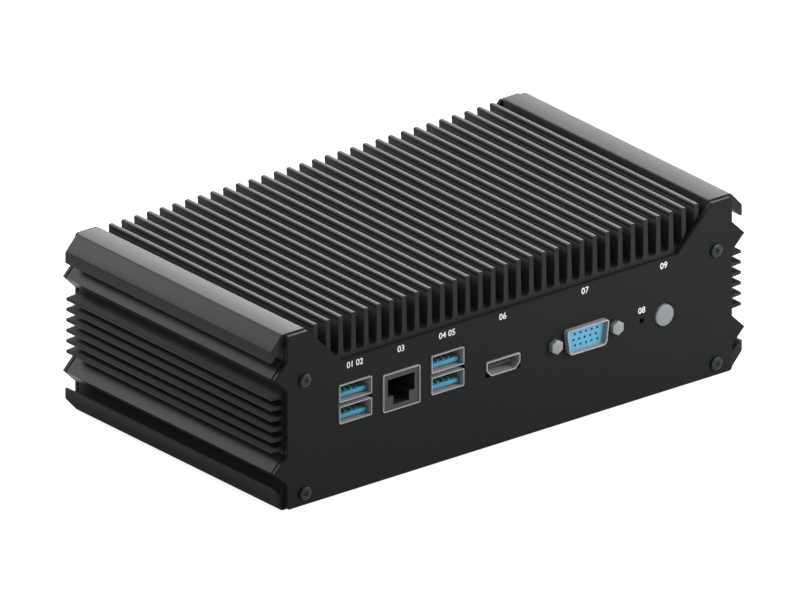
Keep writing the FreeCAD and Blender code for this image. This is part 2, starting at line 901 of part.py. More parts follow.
def make_jack(name, x, side):
    """Modular jack: folded shell, moulded insert with the plug and latch opening, eight spring wires."""
    inside = S.jack_width - S.shell_thick * 2
    shell = new_body(name + "_shell")
    y = inward(side, -S.socket_proud, S.jack_depth)
    top = S.board_top + S.jack_height
    pad(shell, "case", "XZ_Plane", y[0], y[1], centred(x, S.jack_width, S.board_top, top))
    y = inward(side, -S.socket_proud, S.jack_depth - S.shell_thick)
    low = S.board_top + S.shell_thick
    high = top - S.shell_thick
    pocket(shell, "room", "XZ_Plane", y[0], y[1], centred(x, inside, low, high))

    insert = new_body(name + "_insert")
    y = inward(side, S.jack_recess - S.socket_proud, S.jack_depth - S.shell_thick)
    pad(insert, "block", "XZ_Plane", y[0], y[1], centred(x, inside, low, high))
    y = inward(side, S.jack_recess - S.socket_proud, S.plug_depth)
    floor = S.board_top + S.plug_level
    roof = floor + S.plug_height
    plug = mirrored([
        (S.latch_width / 2, floor - S.latch_height),
        (S.latch_width / 2, floor),
        (S.plug_width / 2, floor),
        (S.plug_width / 2, roof),
    ])
    pocket(insert, "plug_opening", "XZ_Plane", y[0], y[1], moved(plug, x, ZERO))

    wires = new_body(name + "_contacts", loose=True)
    near = -FACE + S.contact_start if side == FRONT else FACE - S.contact_start
    run = S.contact_length * -side
    wire = [
        (near, roof),
        (near, roof - S.contact_thick),
        (near + run, roof - S.contact_dip),
        (near + run, roof - S.contact_dip + S.contact_thick),
    ]
    span = S.contact_pitch * (JACK_WIRES - 1)
    first = pad(wires, "wire", "YZ_Plane", *about(x - span / 2, S.contact_width), wire)
    repeat(wires, "wires", [first], "X_Axis", span, Size(JACK_WIRES))


def video_outline(x, shrink):
    """Outline of the video port: wide above, with its two lower corners cut off."""
    floor = S.board_top + S.video_level
    slant = (S.video_top_width - S.video_bottom_width) / 2
    side = slant_length(slant, S.video_corner)
    # A wall of even thickness shortens the slanted side by another share at each of its ends.
    inset = shrink * (side - slant) / S.video_corner
    lift = shrink * (side - S.video_corner) / slant
    right = [
        (S.video_bottom_width / 2 - inset, floor + shrink),
        (S.video_top_width / 2 - shrink, floor + S.video_corner + lift),
        (S.video_top_width / 2 - shrink, floor + S.video_height - shrink),
    ]
    return moved(mirrored(right), x, ZERO)


def video_cutout(x):
    floor = S.board_top + S.video_level
    return centred(
        x, S.video_top_width + S.cutout_gap * 2,
        floor - S.cutout_gap, floor + S.video_height + S.cutout_gap,
    )


def make_video_port(x):
    shell = new_body("video_port_shell")
    y = inward(FRONT, -S.socket_proud, S.video_depth)
    pad(shell, "tube", "XZ_Plane", y[0], y[1], video_outline(x, ZERO))
    foot = inward(FRONT, S.video_root / 2, S.video_depth)
    floor = S.board_top + S.video_level
    pad(
        shell, "foot", "XZ_Plane", foot[0], foot[1],
        centred(x, S.video_bottom_width, S.board_top, floor + S.video_wall / 2),
    )
    y = inward(FRONT, -S.socket_proud, S.video_depth - S.video_wall)
    pocket(shell, "room", "XZ_Plane", y[0], y[1], video_outline(x, S.video_wall))

    insert = new_body("video_port_insert")
    y = inward(FRONT, S.video_root, S.video_depth - S.video_wall)
    pad(insert, "root", "XZ_Plane", y[0], y[1], video_outline(x, S.video_wall))
    y = inward(FRONT, S.video_tongue_recess - S.socket_proud, S.video_root)
    top = floor + S.video_height - S.video_wall - S.video_tongue_drop
    pad(
        insert, "tongue", "XZ_Plane", y[0], y[1],
        centred(x, S.video_tongue_width, top - S.video_tongue_thick, top),
    )


def dsub_outline(x, shrink):
    """D shape with round corners, wider above than below."""
    middle = S.board_top + S.dsub_level
    half = S.dsub_height / 2 - shrink
    radius = S.dsub_round - shrink
    right = [
        (S.dsub_bottom_width / 2 - shrink, middle - half, radius),
        (S.dsub_top_width / 2 - shrink, middle + half, radius),
    ]
    return moved(mirrored(right), x, ZERO)


def jackscrew_places():
    return [(DSUB_X + S.jackscrew_pitch / 2 * i, S.board_top + S.dsub_level) for i in (-1, 1)]


def jackscrew_holes(radius):
    return [octagon(*place, radius) for place in jackscrew_places()]


def make_dsub(x):
    """Fifteen-way socket: drawn shell with its flange, moulded insulator and two hexagonal jackscrews."""
    middle = S.board_top + S.dsub_level
    shell = new_body("dsub_shell")
    y = inward(FRONT, -S.dsub_proud, S.panel_thick)
    pad(shell, "rim", "XZ_Plane", y[0], y[1], dsub_outline(x, ZERO), dsub_outline(x, S.dsub_wall))
    y = inward(FRONT, S.panel_thick, S.panel_thick + S.flange_thick)
    half = S.flange_height / 2
    hole = S.jackscrew_r + S.thread_gap
    pad(
        shell, "flange", "XZ_Plane", y[0], y[1],
        centred(x, S.jackscrew_pitch + S.flange_margin * 2, middle - half, middle + half),
        dsub_outline(x, S.dsub_wall), *jackscrew_holes(hole),
    )

    insulator = new_body("dsub_insulator")
    back = S.panel_thick + S.flange_thick
    y = inward(FRONT, S.dsub_recess - S.dsub_proud, back)
    pad(insulator, "nose", "XZ_Plane", y[0], y[1], dsub_outline(x, S.dsub_wall))
    y = inward(FRONT, back, back + S.dsub_block_depth)
    pad(
        insulator, "block", "XZ_Plane", y[0], y[1],
        centred(x, S.dsub_block_width, S.board_top, middle + half),
    )
    start = S.dsub_recess - S.dsub_proud
    y = inward(FRONT, start, start + S.dsub_pin_depth)
    holes = []
    shift = S.dsub_row_shift / 2
    for row, aside in ((1, shift), (0, -shift), (-1, shift)):
        for column in range(-2, 3):
            place = x + S.dsub_pin_pitch * column + aside
            holes.append(hexagon(place, middle + S.dsub_row_pitch * row, S.dsub_pin_wide))
    pocket(insulator, "pin_holes", "XZ_Plane", y[0], y[1], *holes)

    screws = new_body("dsub_jackscrews", loose=True)
    y = inward(FRONT, -S.jackscrew_proud, ZERO)
    hexagons = [hexagon(*place, S.jackscrew_flats) for place in jackscrew_places()]
    pad(screws, "heads", "XZ_Plane", y[0], y[1], *hexagons)
    y = inward(FRONT, ZERO, S.jackscrew_length)
    pad(screws, "shanks", "XZ_Plane", y[0], y[1], *jackscrew_holes(S.jackscrew_r))


def make_power_button(x):
    """Push button in the front panel, its stem resting on the plunger of a switch on the board."""
    level = S.board_top + S.button_level
    cap = new_body("power_button")
    front, stop = inward(FRONT, -S.button_proud, S.panel_thick + S.button_gap)
    flange_end = stop + S.button_flange_thick
    profile = [
        (front, level),
        (front, level + S.button_r - S.button_bevel),
        (front + S.button_bevel, level + S.button_r),
        (stop, level + S.button_r),
        (stop, level + S.button_flange_r),
        (flange_end, level + S.button_flange_r),
        (flange_end, level),
    ]
    turn(cap, "cap", "YZ_Plane", x, (profile[0], profile[-1]), profile)
    stem_end = S.button_stem_end - FACE
    wide = S.button_stem_wide
    pad(cap, "stem", "XZ_Plane", flange_end, stem_end, centred(x, wide, level - wide / 2, level + wide / 2))

    switch = new_body("power_switch")
    end = S.switch_start + S.switch_depth
    y = inward(FRONT, S.switch_start, end)
    pad(
        switch, "body", "XZ_Plane", y[0], y[1],
        centred(x, S.switch_width, S.board_top, S.board_top + S.switch_height),
    )
    wide = S.plunger_wide / 2 + S.plunger_gap
    room = S.plunger_hold + S.button_travel + S.plunger_gap
    y = inward(FRONT, S.switch_start, S.switch_start + room)
    pocket(switch, "guide", "XZ_Plane", y[0], y[1], centred(x, wide * 2, level - wide, level + wide))

    plunger = new_body("power_switch_plunger")
    half = S.plunger_wide / 2
    y = inward(FRONT, S.button_stem_end, S.switch_start + S.plunger_hold)
    pad(plunger, "pin", "XZ_Plane", y[0], y[1], centred(x, S.plunger_wide, level - half, level + half))


def make_reset(x):
    """Switch behind the pin hole, with a round plunger that a pin can press."""
    level = S.board_top + S.reset_level
    switch = new_body("reset_switch")
    y = inward(FRONT, S.reset_start, S.reset_start + S.reset_depth)
    pad(
        switch, "body", "XZ_Plane", y[0], y[1],
        centred(x, S.reset_width, S.board_top, S.board_top + S.reset_height),
    )
    room = S.reset_plunger_in + S.reset_travel + S.plunger_gap
    y = inward(FRONT, S.reset_start, S.reset_start + room)
    pocket(switch, "guide", "XZ_Plane", y[0], y[1], Circle(x, level, S.reset_plunger_r + S.plunger_gap))

    plunger = new_body("reset_plunger")
    y = inward(FRONT, S.reset_start - S.reset_plunger_out, S.reset_start + S.reset_plunger_in)
    pad(plunger, "pin", "XZ_Plane", y[0], y[1], Circle(x, level, S.reset_plunger_r))


def inlet_cutout(x):
    return centred(
        x, S.inlet_width + S.cutout_gap * 2,
        S.board_top - S.cutout_gap, S.board_top + S.inlet_height + S.cutout_gap,
    )


def make_supply_inlet(x):
    """Round low-voltage inlet with its centre pin."""
    level = S.board_top + S.inlet_bore_level
    body = new_body("supply_inlet")
    y = inward(REAR, -S.socket_proud, S.inlet_depth)
    pad(
        body, "case", "XZ_Plane", y[0], y[1],
        centred(x, S.inlet_width, S.board_top, S.board_top + S.inlet_height),
    )
    y = inward(REAR, -S.socket_proud, S.inlet_bore_depth)
    pocket(body, "bore", "XZ_Plane", y[0], y[1], Circle(x, level, S.inlet_bore_r))

    pin = new_body("supply_inlet_pin")
    y = inward(REAR, S.inlet_pin_recess, S.inlet_bore_depth)
    pad(pin, "pin", "XZ_Plane", y[0], y[1], Circle(x, level, S.inlet_pin_r))


def network_places():
    return [HALF * (S.network_share + S.network_step_share * i) for i in range(NETWORK_JACKS)]


def front_cutouts():
    return [
        stack_cutout(LEFT_STACK_X),
        jack_cutout(CONSOLE_X),
        stack_cutout(RIGHT_STACK_X),
        video_cutout(VIDEO_X),
        dsub_outline(DSUB_X, -S.cutout_gap),
        *jackscrew_holes(S.jackscrew_r + S.through_gap),
        Circle(RESET_X, S.board_top + S.reset_level, S.reset_hole_r),
        Circle(BUTTON_X, S.board_top + S.button_level, S.button_r + S.button_gap),
    ]


def rear_cutouts():
    return [jack_cutout(x) for x in network_places()] + [inlet_cutout(INLET_X)]


def make_sockets():
    make_stacked_port("left_stacked_port", LEFT_STACK_X)
    make_stacked_port("right_stacked_port", RIGHT_STACK_X)
    make_jack("console_jack", CONSOLE_X, FRONT)
    for number, x in enumerate(network_places(), start=1):
        make_jack(f"network_jack_{number}", x, REAR)
    make_video_port(VIDEO_X)
    make_dsub(DSUB_X)
    make_power_button(BUTTON_X)
    make_reset(RESET_X)
    make_supply_inlet(INLET_X)


# ---------------------------------------------------------------- mainboard


def block_screw_holes(radius):
    return [
        octagon(S.processor_x + S.block_screw_x * i, S.processor_y + S.block_screw_y * j, radius)
        for i in (-1, 1) for j in (-1, 1)
    ]


def card_screw_place():
    return (S.storage_x, S.storage_y - S.card_length + S.card_entry + S.card_screw_inset)


def make_board():
    """Mainboard hung from the roof by four screws through spacers."""
    body = new_body("mainboard")
    side = INNER - S.board_side_gap
    end = HALF_LENGTH - S.board_end_gap
    pad(
        body, "plate", "XY_Plane", BOARD_FLOOR, S.board_top,
        rectangle(-side, side, -end, end),
        *four(*SPACER, THROUGH_R), octagon(*card_screw_place(), S.card_screw_r + S.thread_gap),
    )

    spacers = new_body("board_spacers", loose=True)
    x, y = SPACER
    tube = pad(
        spacers, "tube", "XY_Plane", S.board_top, ROOF,
        hexagon(-x, -y, S.spacer_flats), octagon(-x, -y, THROUGH_R),
    )
    repeat_grid(spacers, "tubes", [tube], *four_ways(x, y))
    make_upright_screws(
        "board_screws", (ZERO, ZERO), SPACER, BOARD_FLOOR,
        S.board_head_high, S.hex_flats, ROOF + S.thread_hold,
    )


def make_processor():
    """Processor, pad and the aluminium block that carries its heat up to the roof."""
    x, y = S.processor_x, S.processor_y
    top = S.board_top + S.package_thick
    die_top = top + S.die_thick
    package = block("package", about(x, S.package_wide), about(y, S.package_wide), (S.board_top, top))
    die = block("die", about(x, S.die_length), about(y, S.die_width), (top, die_top))
    combine("MultiFuse", "processor", [package, die])

    pad_top = die_top + S.pad_thick
    sheet_piece = block("thermal_pad", about(x, S.die_length), about(y, S.die_width), (die_top, pad_top))
    sheet_piece.Label = "thermal_pad"
    pieces.append(sheet_piece)

    body = new_body("thermal_block")
    step = pad_top + S.block_step
    pad(
        body, "slab", "XY_Plane", step, ROOF,
        rectangle(*about(x, S.block_length), *about(y, S.block_width)), *block_screw_holes(THROUGH_R),
    )
    pad(
        body, "foot", "XY_Plane", pad_top, step,
        rectangle(*about(x, S.block_foot), *about(y, S.block_foot)),
    )
    make_upright_screws(
        "thermal_block_screws", (x, y), (S.block_screw_x, S.block_screw_y), step,
        S.block_head_high, S.hex_flats, ROOF + S.thread_hold,
    )


def make_memory():
    """Memory module held flat below the board by its socket and two arms."""
    x, y = S.memory_x, S.memory_y
    top = BOARD_FLOOR - S.module_drop
    module_y = (y - S.module_width + S.module_entry, y + S.module_entry)
    card = block("memory_card", about(x, S.module_length), module_y, (top - S.module_thick, top))
    chips = []
    middle = y - (S.module_width - S.module_entry) / 2
    row = S.chip_pitch * (MEMORY_CHIPS - 1)
    for i in range(MEMORY_CHIPS):
        place = x - row / 2 + S.chip_pitch * i
        chips.append(block(
            f"memory_chip_{i}", about(place, S.chip_length), about(middle, S.chip_width),
            (top - S.module_thick - S.chip_thick, top - S.module_thick),
        ))
    combine("MultiFuse", "memory_module", [card] + chips)

    socket = new_body("memory_socket")
    outer = S.module_length / 2 + S.memory_arm
    inner = S.module_length / 2 + S.holder_gap
    floor = BOARD_FLOOR - S.memory_socket_high
    back = y + S.memory_socket_width
    frame = [
        (x - outer, back), (x - outer, y - S.memory_arm_length), (x - inner, y - S.memory_arm_length),
        (x - inner, y), (x + inner, y), (x + inner, y - S.memory_arm_length),
        (x + outer, y - S.memory_arm_length), (x + outer, back),
    ]
    pad(socket, "frame", "XY_Plane", floor, BOARD_FLOOR, frame)
    pocket(
        socket, "slot", "XY_Plane", top - S.module_thick, top,
        rectangle(x - S.module_length / 2, x + S.module_length / 2, y, y + S.module_entry),
    )


def make_storage():
    """Storage card below the board: edge socket, card, threaded post and its screw."""
    x, y = S.storage_x, S.storage_y
    top = BOARD_FLOOR - S.card_drop
    bottom = top - S.card_thick
    centre = card_screw_place()
    card = new_body("storage_module")
    middle = y - S.card_length / 2
    pad(
        card, "card", "XY_Plane", bottom, top,
        rectangle(*about(x, S.card_width), y - S.card_length + S.card_entry, y + S.card_entry),
        octagon(*centre, S.card_screw_r + S.thread_gap),
    )
    pad(
        card, "package", "XY_Plane", bottom - S.chip_thick, bottom,
        rectangle(*about(x, S.package_length), *about(middle, S.package_width)),
    )

    socket = new_body("storage_socket")
    width = S.card_width / 2
    floor = BOARD_FLOOR - S.storage_socket_high
    pad(
        socket, "body", "XY_Plane", floor, BOARD_FLOOR,
        rectangle(x - width, x + width, y, y + S.storage_socket_width),
    )
    pocket(
        socket, "slot", "XY_Plane", bottom, top,
        rectangle(x - width, x + width, y, y + S.card_entry),
    )

    post = new_body("storage_standoff")
    pad(
        post, "post", "XY_Plane", top, BOARD_FLOOR,
        hexagon(*centre, S.card_post_flats), octagon(*centre, S.card_screw_r + S.thread_gap),
    )
    screw = new_body("storage_screw")
    pad(screw, "head", "XY_Plane", bottom - S.card_head_high, bottom, hexagon(*centre, S.card_head_flats))
    pad(screw, "shank", "XY_Plane", bottom, BOARD_FLOOR, octagon(*centre, S.card_screw_r))


def make_clock_cell():
    """Coin cell in an open tray."""
    x, y = HALF * S.cell_share, S.cell_y
    floor = S.board_top + S.holder_floor
    rim = S.board_top + S.holder_high
    room = (S.cell_r + S.holder_gap) * 2
    outside = room + S.holder_wall * 2
    holder = new_body("coin_cell_holder")
    pad(holder, "tray", "XY_Plane", S.board_top, rim, rectangle(*about(x, outside), *about(y, outside)))
    pocket(holder, "well", "XY_Plane", floor, rim, rectangle(*about(x, room), *about(y, room)))
    cell = new_body("coin_cell")
    pad(cell, "cell", "XY_Plane", floor, floor + S.cell_thick, Circle(x, y, S.cell_r))


def make_coils():
    """Coils of the board's supply, in a row along Y."""
    coils = new_body("power_coils", loose=True)
    coil = pad(
        coils, "coil", "XY_Plane", S.board_top, S.board_top + S.coil_high,
        rectangle(*about(HALF * S.coil_share, S.coil_wide), *about(S.coil_y, S.coil_wide)),
    )
    repeat(coils, "coils", [coil], "Y_Axis", S.coil_pitch * (S.coil_count - 1), S.coil_count)


def make_electronics():
    make_board()
    make_processor()
    make_memory()
    make_storage()
    make_clock_cell()
    make_coils()


# ---------------------------------------------------------------- document


def check_document():
    for item in doc.Objects:
        if "Invalid" in item.State or "Error" in item.State:
            raise RuntimeError(f"{item.Label} did not recompute: {item.State}")
    for piece in pieces:
        if piece.Shape.isNull() or not piece.Shape.isValid() or not piece.Shape.Solids:
            raise RuntimeError(f"{piece.Label} has no valid solid")


def export_pieces():
    os.makedirs("parts", exist_ok=True)
    for piece in pieces:
        piece.Shape.exportStep(f"parts/{piece.Label}.step")


make_housing()
make_sockets()
make_electronics()
doc.recompute()
check_document()
export_pieces()
print(f"{len(pieces)} pieces written")
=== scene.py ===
import json
import math

import bmesh
import bpy
from bpy.props import FloatProperty, FloatVectorProperty, PointerProperty
from bpy.types import Operator, Panel, PropertyGroup
from mathutils import Matrix, Vector


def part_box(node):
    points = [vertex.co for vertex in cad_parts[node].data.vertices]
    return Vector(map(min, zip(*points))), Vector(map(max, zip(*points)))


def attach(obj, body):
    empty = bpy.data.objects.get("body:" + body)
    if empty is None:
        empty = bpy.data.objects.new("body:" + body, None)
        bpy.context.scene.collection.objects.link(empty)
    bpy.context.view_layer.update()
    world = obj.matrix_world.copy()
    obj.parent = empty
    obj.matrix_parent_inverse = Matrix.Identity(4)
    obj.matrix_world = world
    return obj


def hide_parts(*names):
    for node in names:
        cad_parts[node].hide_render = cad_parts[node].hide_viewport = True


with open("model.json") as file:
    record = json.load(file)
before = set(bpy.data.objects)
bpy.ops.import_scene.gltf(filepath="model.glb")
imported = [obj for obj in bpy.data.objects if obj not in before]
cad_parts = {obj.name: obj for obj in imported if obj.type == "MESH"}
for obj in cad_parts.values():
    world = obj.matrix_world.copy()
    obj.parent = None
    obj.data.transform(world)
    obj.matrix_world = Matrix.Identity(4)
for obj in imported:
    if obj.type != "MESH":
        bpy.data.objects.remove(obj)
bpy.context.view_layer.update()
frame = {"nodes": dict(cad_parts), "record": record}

bl_info = {
    "name": "Fanless computer dressing",
    "version": (1, 0, 0),
    "blender": (4, 5, 0),
    "location": "View3D > Sidebar > Fanless",
    "description": "Dresses the finned housing, its end panels and its sockets, and sets up a studio",
    "category": "Object",
}

# Pieces are modelled in millimetres and brought to metres as they are finished.
MM = 0.001
# Points nearer than this, in millimetres, are one point; after a bevel, corners are found this loosely.
SAME = 1e-4
CORNER_REACH = 1e-3


# ---------------------------------------------------------------- settings


def length(name, description, millimetres):
    return FloatProperty(
        name=name, description=description, default=millimetres * MM, unit="LENGTH", precision=5,
    )


def colour(name, description, rgb):
    return FloatVectorProperty(
        name=name, description=description, default=rgb, subtype="COLOR", size=3, min=0.0, max=1.0,
    )


def share(name, description, value):
    return FloatProperty(
        name=name, description=description, default=value, min=0.0, max=1.0, subtype="FACTOR",
    )


class FanlessHousing(PropertyGroup):
    """Sizes and colours of the extrusion, the panels and their screws."""

    tip_round: length("Fin tip radius", "Radius of the two upper edges of each fin", 0.45)
    root_round: length("Fin root radius", "Radius between a fin and the roof", 0.9)
    rib_pitch: length("Rib pitch", "Distance between the fine ribs on a fin's flanks", 0.75)
    rib_depth: length("Rib depth", "Depth of the fine ribs on a fin's flanks", 0.2)
    side_rib_pitch: length("Side rib pitch", "Distance between the ribs on a side fin", 1.0)
    side_rib_depth: length("Side rib depth", "Depth of the ribs on a side fin", 0.30)
    plain_top: length("Plain fin top", "Height of the unribbed band below a fin's top", 1.2)
    edge_round: length("Edge radius", "Radius of the rails' edges", 0.5)
    extrusion: colour("Extrusion", "Colour of the anodised extrusion", (0.026, 0.0275, 0.0285))
    panel: colour("Panel", "Colour of the coated end panels", (0.0125, 0.0135, 0.0138))
    screw: colour("Screw", "Colour of the blackened screws", (0.014, 0.017, 0.018))


class FanlessSockets(PropertyGroup):
    """Rims and colours of the sockets, and the button's colour."""

    rim_edge: length("Rim softness", "Radius on the edges of the sheet-metal rims", 0.07)
    shell: colour("Shell", "Colour of the plated shells", (0.33, 0.33, 0.35))
    blue: colour("Blue insert", "Colour of the stacked ports' tongues", (0.035, 0.27, 0.42))
    pale_blue: colour("Pale blue insulator", "Colour of the fifteen-way insulator", (0.10, 0.35, 0.53))
    slate: colour("Slate insert", "Colour of the jacks' inserts", (0.010, 0.013, 0.017))
    button: colour("Button", "Colour of the power button", (0.205, 0.22, 0.235))


class FanlessPrint(PropertyGroup):
    """The printed numerals."""

    height: length("Numeral height", "Height of the printed numerals", 2.1)
    weight: length("Numeral weight", "How far the numerals' strokes are thickened on each side", 0.05)
    ink: colour("Ink", "Colour of the print", (0.82, 0.83, 0.84))


class FanlessStage(PropertyGroup):
    """Floor and light."""

    floor: share("Floor", "Reflectance of the floor", 0.35)
    backdrop: share("Backdrop", "Brightness that the floor shows of its own, on top of the light on it", 0.86)
    sky: FloatProperty(name="Sky", description="Strength of the even light all round", default=0.42, min=0.0)


# ---------------------------------------------------------------- shaders


class Wire:
    """A shader value that takes arithmetic: an expression on it adds its Math nodes."""

    def __init__(self, shader, socket):
        self.shader = shader
        self.socket = socket

    def math(self, operation, first, second=None, clamp=False):
        given = {0: first} if second is None else {0: first, 1: second}
        node = self.shader.node("ShaderNodeMath", {"operation": operation, "use_clamp": clamp}, given)
        return Wire(self.shader, node.outputs[0])

    def __add__(self, other):
        return self.math("ADD", self, other)

    def __radd__(self, other):
        return self.math("ADD", other, self)

    def __sub__(self, other):
        return self.math("SUBTRACT", self, other)

    def __rsub__(self, other):
        return self.math("SUBTRACT", other, self)

    def __mul__(self, other):
        return self.math("MULTIPLY", self, other)

    def __rmul__(self, other):
        return self.math("MULTIPLY", other, self)

    def clamped(self):
        return self.math("ADD", self, 0.0, clamp=True)


def finish_name(slot):
    """Name of a slot's finish, kept apart from the plain material that the frame brings for the slot."""
    return f"{slot}_finish"


class Shader:
    """One material and the nodes that feed its Principled shader."""

    def __init__(self, name):
        self.material = bpy.data.materials.new(finish_name(name))
        self.material.use_nodes = True
        self.tree = self.material.node_tree
        self.surface = self.tree.nodes["Principled BSDF"]

    def node(self, kind, settings=None, inputs=None):
        """Add a node, give it its settings first, then the values or links of its sockets."""
        node = self.tree.nodes.new(kind)
        for name, value in (settings or {}).items():
            if name == "stops":
                self.set_stops(node.color_ramp, value)
            else:
                setattr(node, name, value)
        for key, value in (inputs or {}).items():
            self.feed(node.inputs[key], value)
        return node

    def set_stops(self, ramp, stops):
        while len(ramp.elements) < len(stops):
            ramp.elements.new(0.5)
        for element, (position, shade) in zip(ramp.elements, stops):
            element.position = position
            element.color = (shade, shade, shade, 1.0)

    def feed(self, socket, value):
        if isinstance(value, Wire):
            self.tree.links.new(value.socket, socket)
        elif socket.type == "RGBA":
            socket.default_value = (*value[:3], 1.0)
        else:
            socket.default_value = value

    def set(self, **values):
        """Set Principled sockets; a space in a socket's name is written as an underscore."""
        for name, value in values.items():
            self.feed(self.surface.inputs[name.replace("_", " ")], value)
        return self

    def place(self, scale=(1.0, 1.0, 1.0), turn=(0.0, 0.0, 0.0)):
        """Object coordinates in metres, turned and stretched."""
        source = self.node("ShaderNodeTexCoord")
        inputs = {"Vector": Wire(self, source.outputs["Object"]), "Scale": scale, "Rotation": turn}
        node = self.node("ShaderNodeMapping", None, inputs)
        return Wire(self, node.outputs[0])

    def height(self):
        """Height over the floor, in metres."""
        source = self.node("ShaderNodeTexCoord")
        parts = self.node("ShaderNodeSeparateXYZ", None, {0: Wire(self, source.outputs["Object"])})
        return Wire(self, parts.outputs["Z"])

    def noise(self, place, scale, detail=3.0, rough=0.5):
        inputs = {"Vector": place, "Scale": scale, "Detail": detail, "Roughness": rough}
        node = self.node("ShaderNodeTexNoise", None, inputs)
        return Wire(self, node.outputs["Fac"])

    def cells(self, place, scale):
        node = self.node("ShaderNodeTexVoronoi", {"feature": "F1"}, {"Vector": place, "Scale": scale})
        return Wire(self, node.outputs["Distance"])

    def ramp(self, value, *stops):
        node = self.node("ShaderNodeValToRGB", {"stops": stops}, {"Fac": value})
        return Wire(self, node.outputs[0])

    def blend(self, factor, first, second):
        """Mix two colours."""
        node = self.node("ShaderNodeMix", {"data_type": "RGBA"})
        colour_in = [socket for socket in node.inputs if socket.type == "RGBA"]
        self.feed(node.inputs[0], factor)
        self.feed(colour_in[0], first)
        self.feed(colour_in[1], second)
        return Wire(self, next(socket for socket in node.outputs if socket.type == "RGBA"))

    def bump(self, height, distance, strength=1.0):
        inputs = {"Height": height, "Distance": distance, "Strength": strength}
        node = self.node("ShaderNodeBump", None, inputs)
        self.set(Normal=Wire(self, node.outputs[0]))
        return self


# Heights, in metres, up to which an extrusion's foot is fully matt and above which it isn't.
MATT_FOOT = (0.005, 0.010)


def shaded(rgb, factor):
    return tuple(min(1.0, part * factor) for part in rgb)


def anodised(name, rgb):
    """Extruded and anodised: faint draw lines along Y, a fine etched grain and a rubbed, matt foot."""
    shader = Shader(name)
    streaks = shader.noise(shader.place((1.0, 0.012, 1.0)), 900.0, 4.0, 0.6)
    grain = shader.noise(shader.place(), 2600.0, 2.0)
    cloud = shader.noise(shader.place(), 28.0, 3.0)
    tone = (streaks * 0.5 + grain * 0.25 + cloud * 0.25).clamped()
    low, high = MATT_FOOT
    foot = ((high - shader.height()) * (1.0 / (high - low))).clamped()
    shader.set(
        Base_Color=shader.blend(tone, shaded(rgb, 0.72), shaded(rgb, 1.28)),
        Roughness=(streaks * 0.10 + grain * 0.06 + 0.30 + foot * 0.6).clamped(),
        Specular_IOR_Level=0.05,
    )
    return shader.bump(streaks * 0.7 + grain * 0.3, 0.00004).material


def powder_coat(name, rgb, peel=1500.0):
    """Sprayed and baked: fine orange peel with small glossy crests."""
    shader = Shader(name)
    skin = shader.noise(shader.place(), peel, 2.0)
    speck = shader.noise(shader.place(), peel * 3.1, 1.0)
    cloud = shader.noise(shader.place(), 22.0, 2.0)
    tone = (skin * 0.4 + cloud * 0.6).clamped()
    shader.set(
        Base_Color=shader.blend(tone, shaded(rgb, 0.8), shaded(rgb, 1.2)),
        Roughness=skin * 0.12 + speck * 0.06 + 0.34,
        Specular_IOR_Level=0.06,
    )
    return shader.bump(skin * 0.7 + speck * 0.3, 0.00005).material


def plated(name, rgb, polish=0.30, metal=1.0):
    """Rolled and plated sheet: faint rolling lines and small stains in the gloss."""
    shader = Shader(name)
    lines = shader.noise(shader.place((1.0, 0.05, 1.0)), 2400.0, 3.0, 0.6)
    stain = shader.noise(shader.place(), 420.0, 3.0)
    shader.set(
        Base_Color=shader.blend(stain, shaded(rgb, 0.85), shaded(rgb, 1.1)),
        Metallic=metal,
        Roughness=lines * 0.12 + stain * 0.10 + (polish - 0.08),
    )
    return shader.bump(lines, 0.00001).material


def blackened(name, rgb):
    """Black oxide on steel: dark, a little oily, with worn glints."""
    shader = Shader(name)
    oil = shader.noise(shader.place(), 700.0, 3.0)
    wear = shader.ramp(shader.noise(shader.place(), 1900.0, 2.0), (0.60, 0.0), (0.78, 1.0))
    shader.set(
        Base_Color=shader.blend(wear * 0.5, rgb, shaded(rgb, 3.0)),
        Metallic=0.3,
        Roughness=oil * 0.2 + 0.32,
        Specular_IOR_Level=0.3,
    )
    return shader.bump(oil, 0.00003).material


def moulded(name, rgb, gloss=0.45, grain=1700.0):
    """Moulded plastic: spark-eroded grain and faint flow marks."""
    shader = Shader(name)
    spark = shader.noise(shader.place(), grain, 2.0)
    flow = shader.noise(shader.place((1.0, 1.0, 0.3)), 140.0, 3.0)
    shader.set(
        Base_Color=shader.blend(flow, shaded(rgb, 0.85), shaded(rgb, 1.12)),
        Roughness=spark * 0.14 + (gloss - 0.05),
    )
    return shader.bump(spark, 0.00003).material


def rubber(name, rgb):
    shader = Shader(name)
    pores = shader.cells(shader.place(), 2200.0)
    dust = shader.noise(shader.place(), 260.0, 3.0)
    shader.set(
        Base_Color=shader.blend(dust, shaded(rgb, 0.7), shaded(rgb, 1.5)),
        Roughness=pores * 0.15 + 0.72,
    )
    return shader.bump(pores, 0.00005).material


def milled(name, rgb):
    """Milled aluminium: fine arcs left by the cutter."""
    shader = Shader(name)
    arcs = shader.node(
        "ShaderNodeTexWave", {"wave_type": "RINGS", "rings_direction": "Z"},
        {"Vector": shader.place(), "Scale": 420.0, "Distortion": 0.6},
    )
    sweep = Wire(shader, arcs.outputs["Fac"])
    stain = shader.noise(shader.place(), 60.0, 3.0)
    shader.set(
        Base_Color=shader.blend(stain, shaded(rgb, 0.9), shaded(rgb, 1.08)),
        Metallic=1.0,
        Roughness=sweep * 0.12 + 0.26,
    )
    return shader.bump(sweep, 0.00002).material


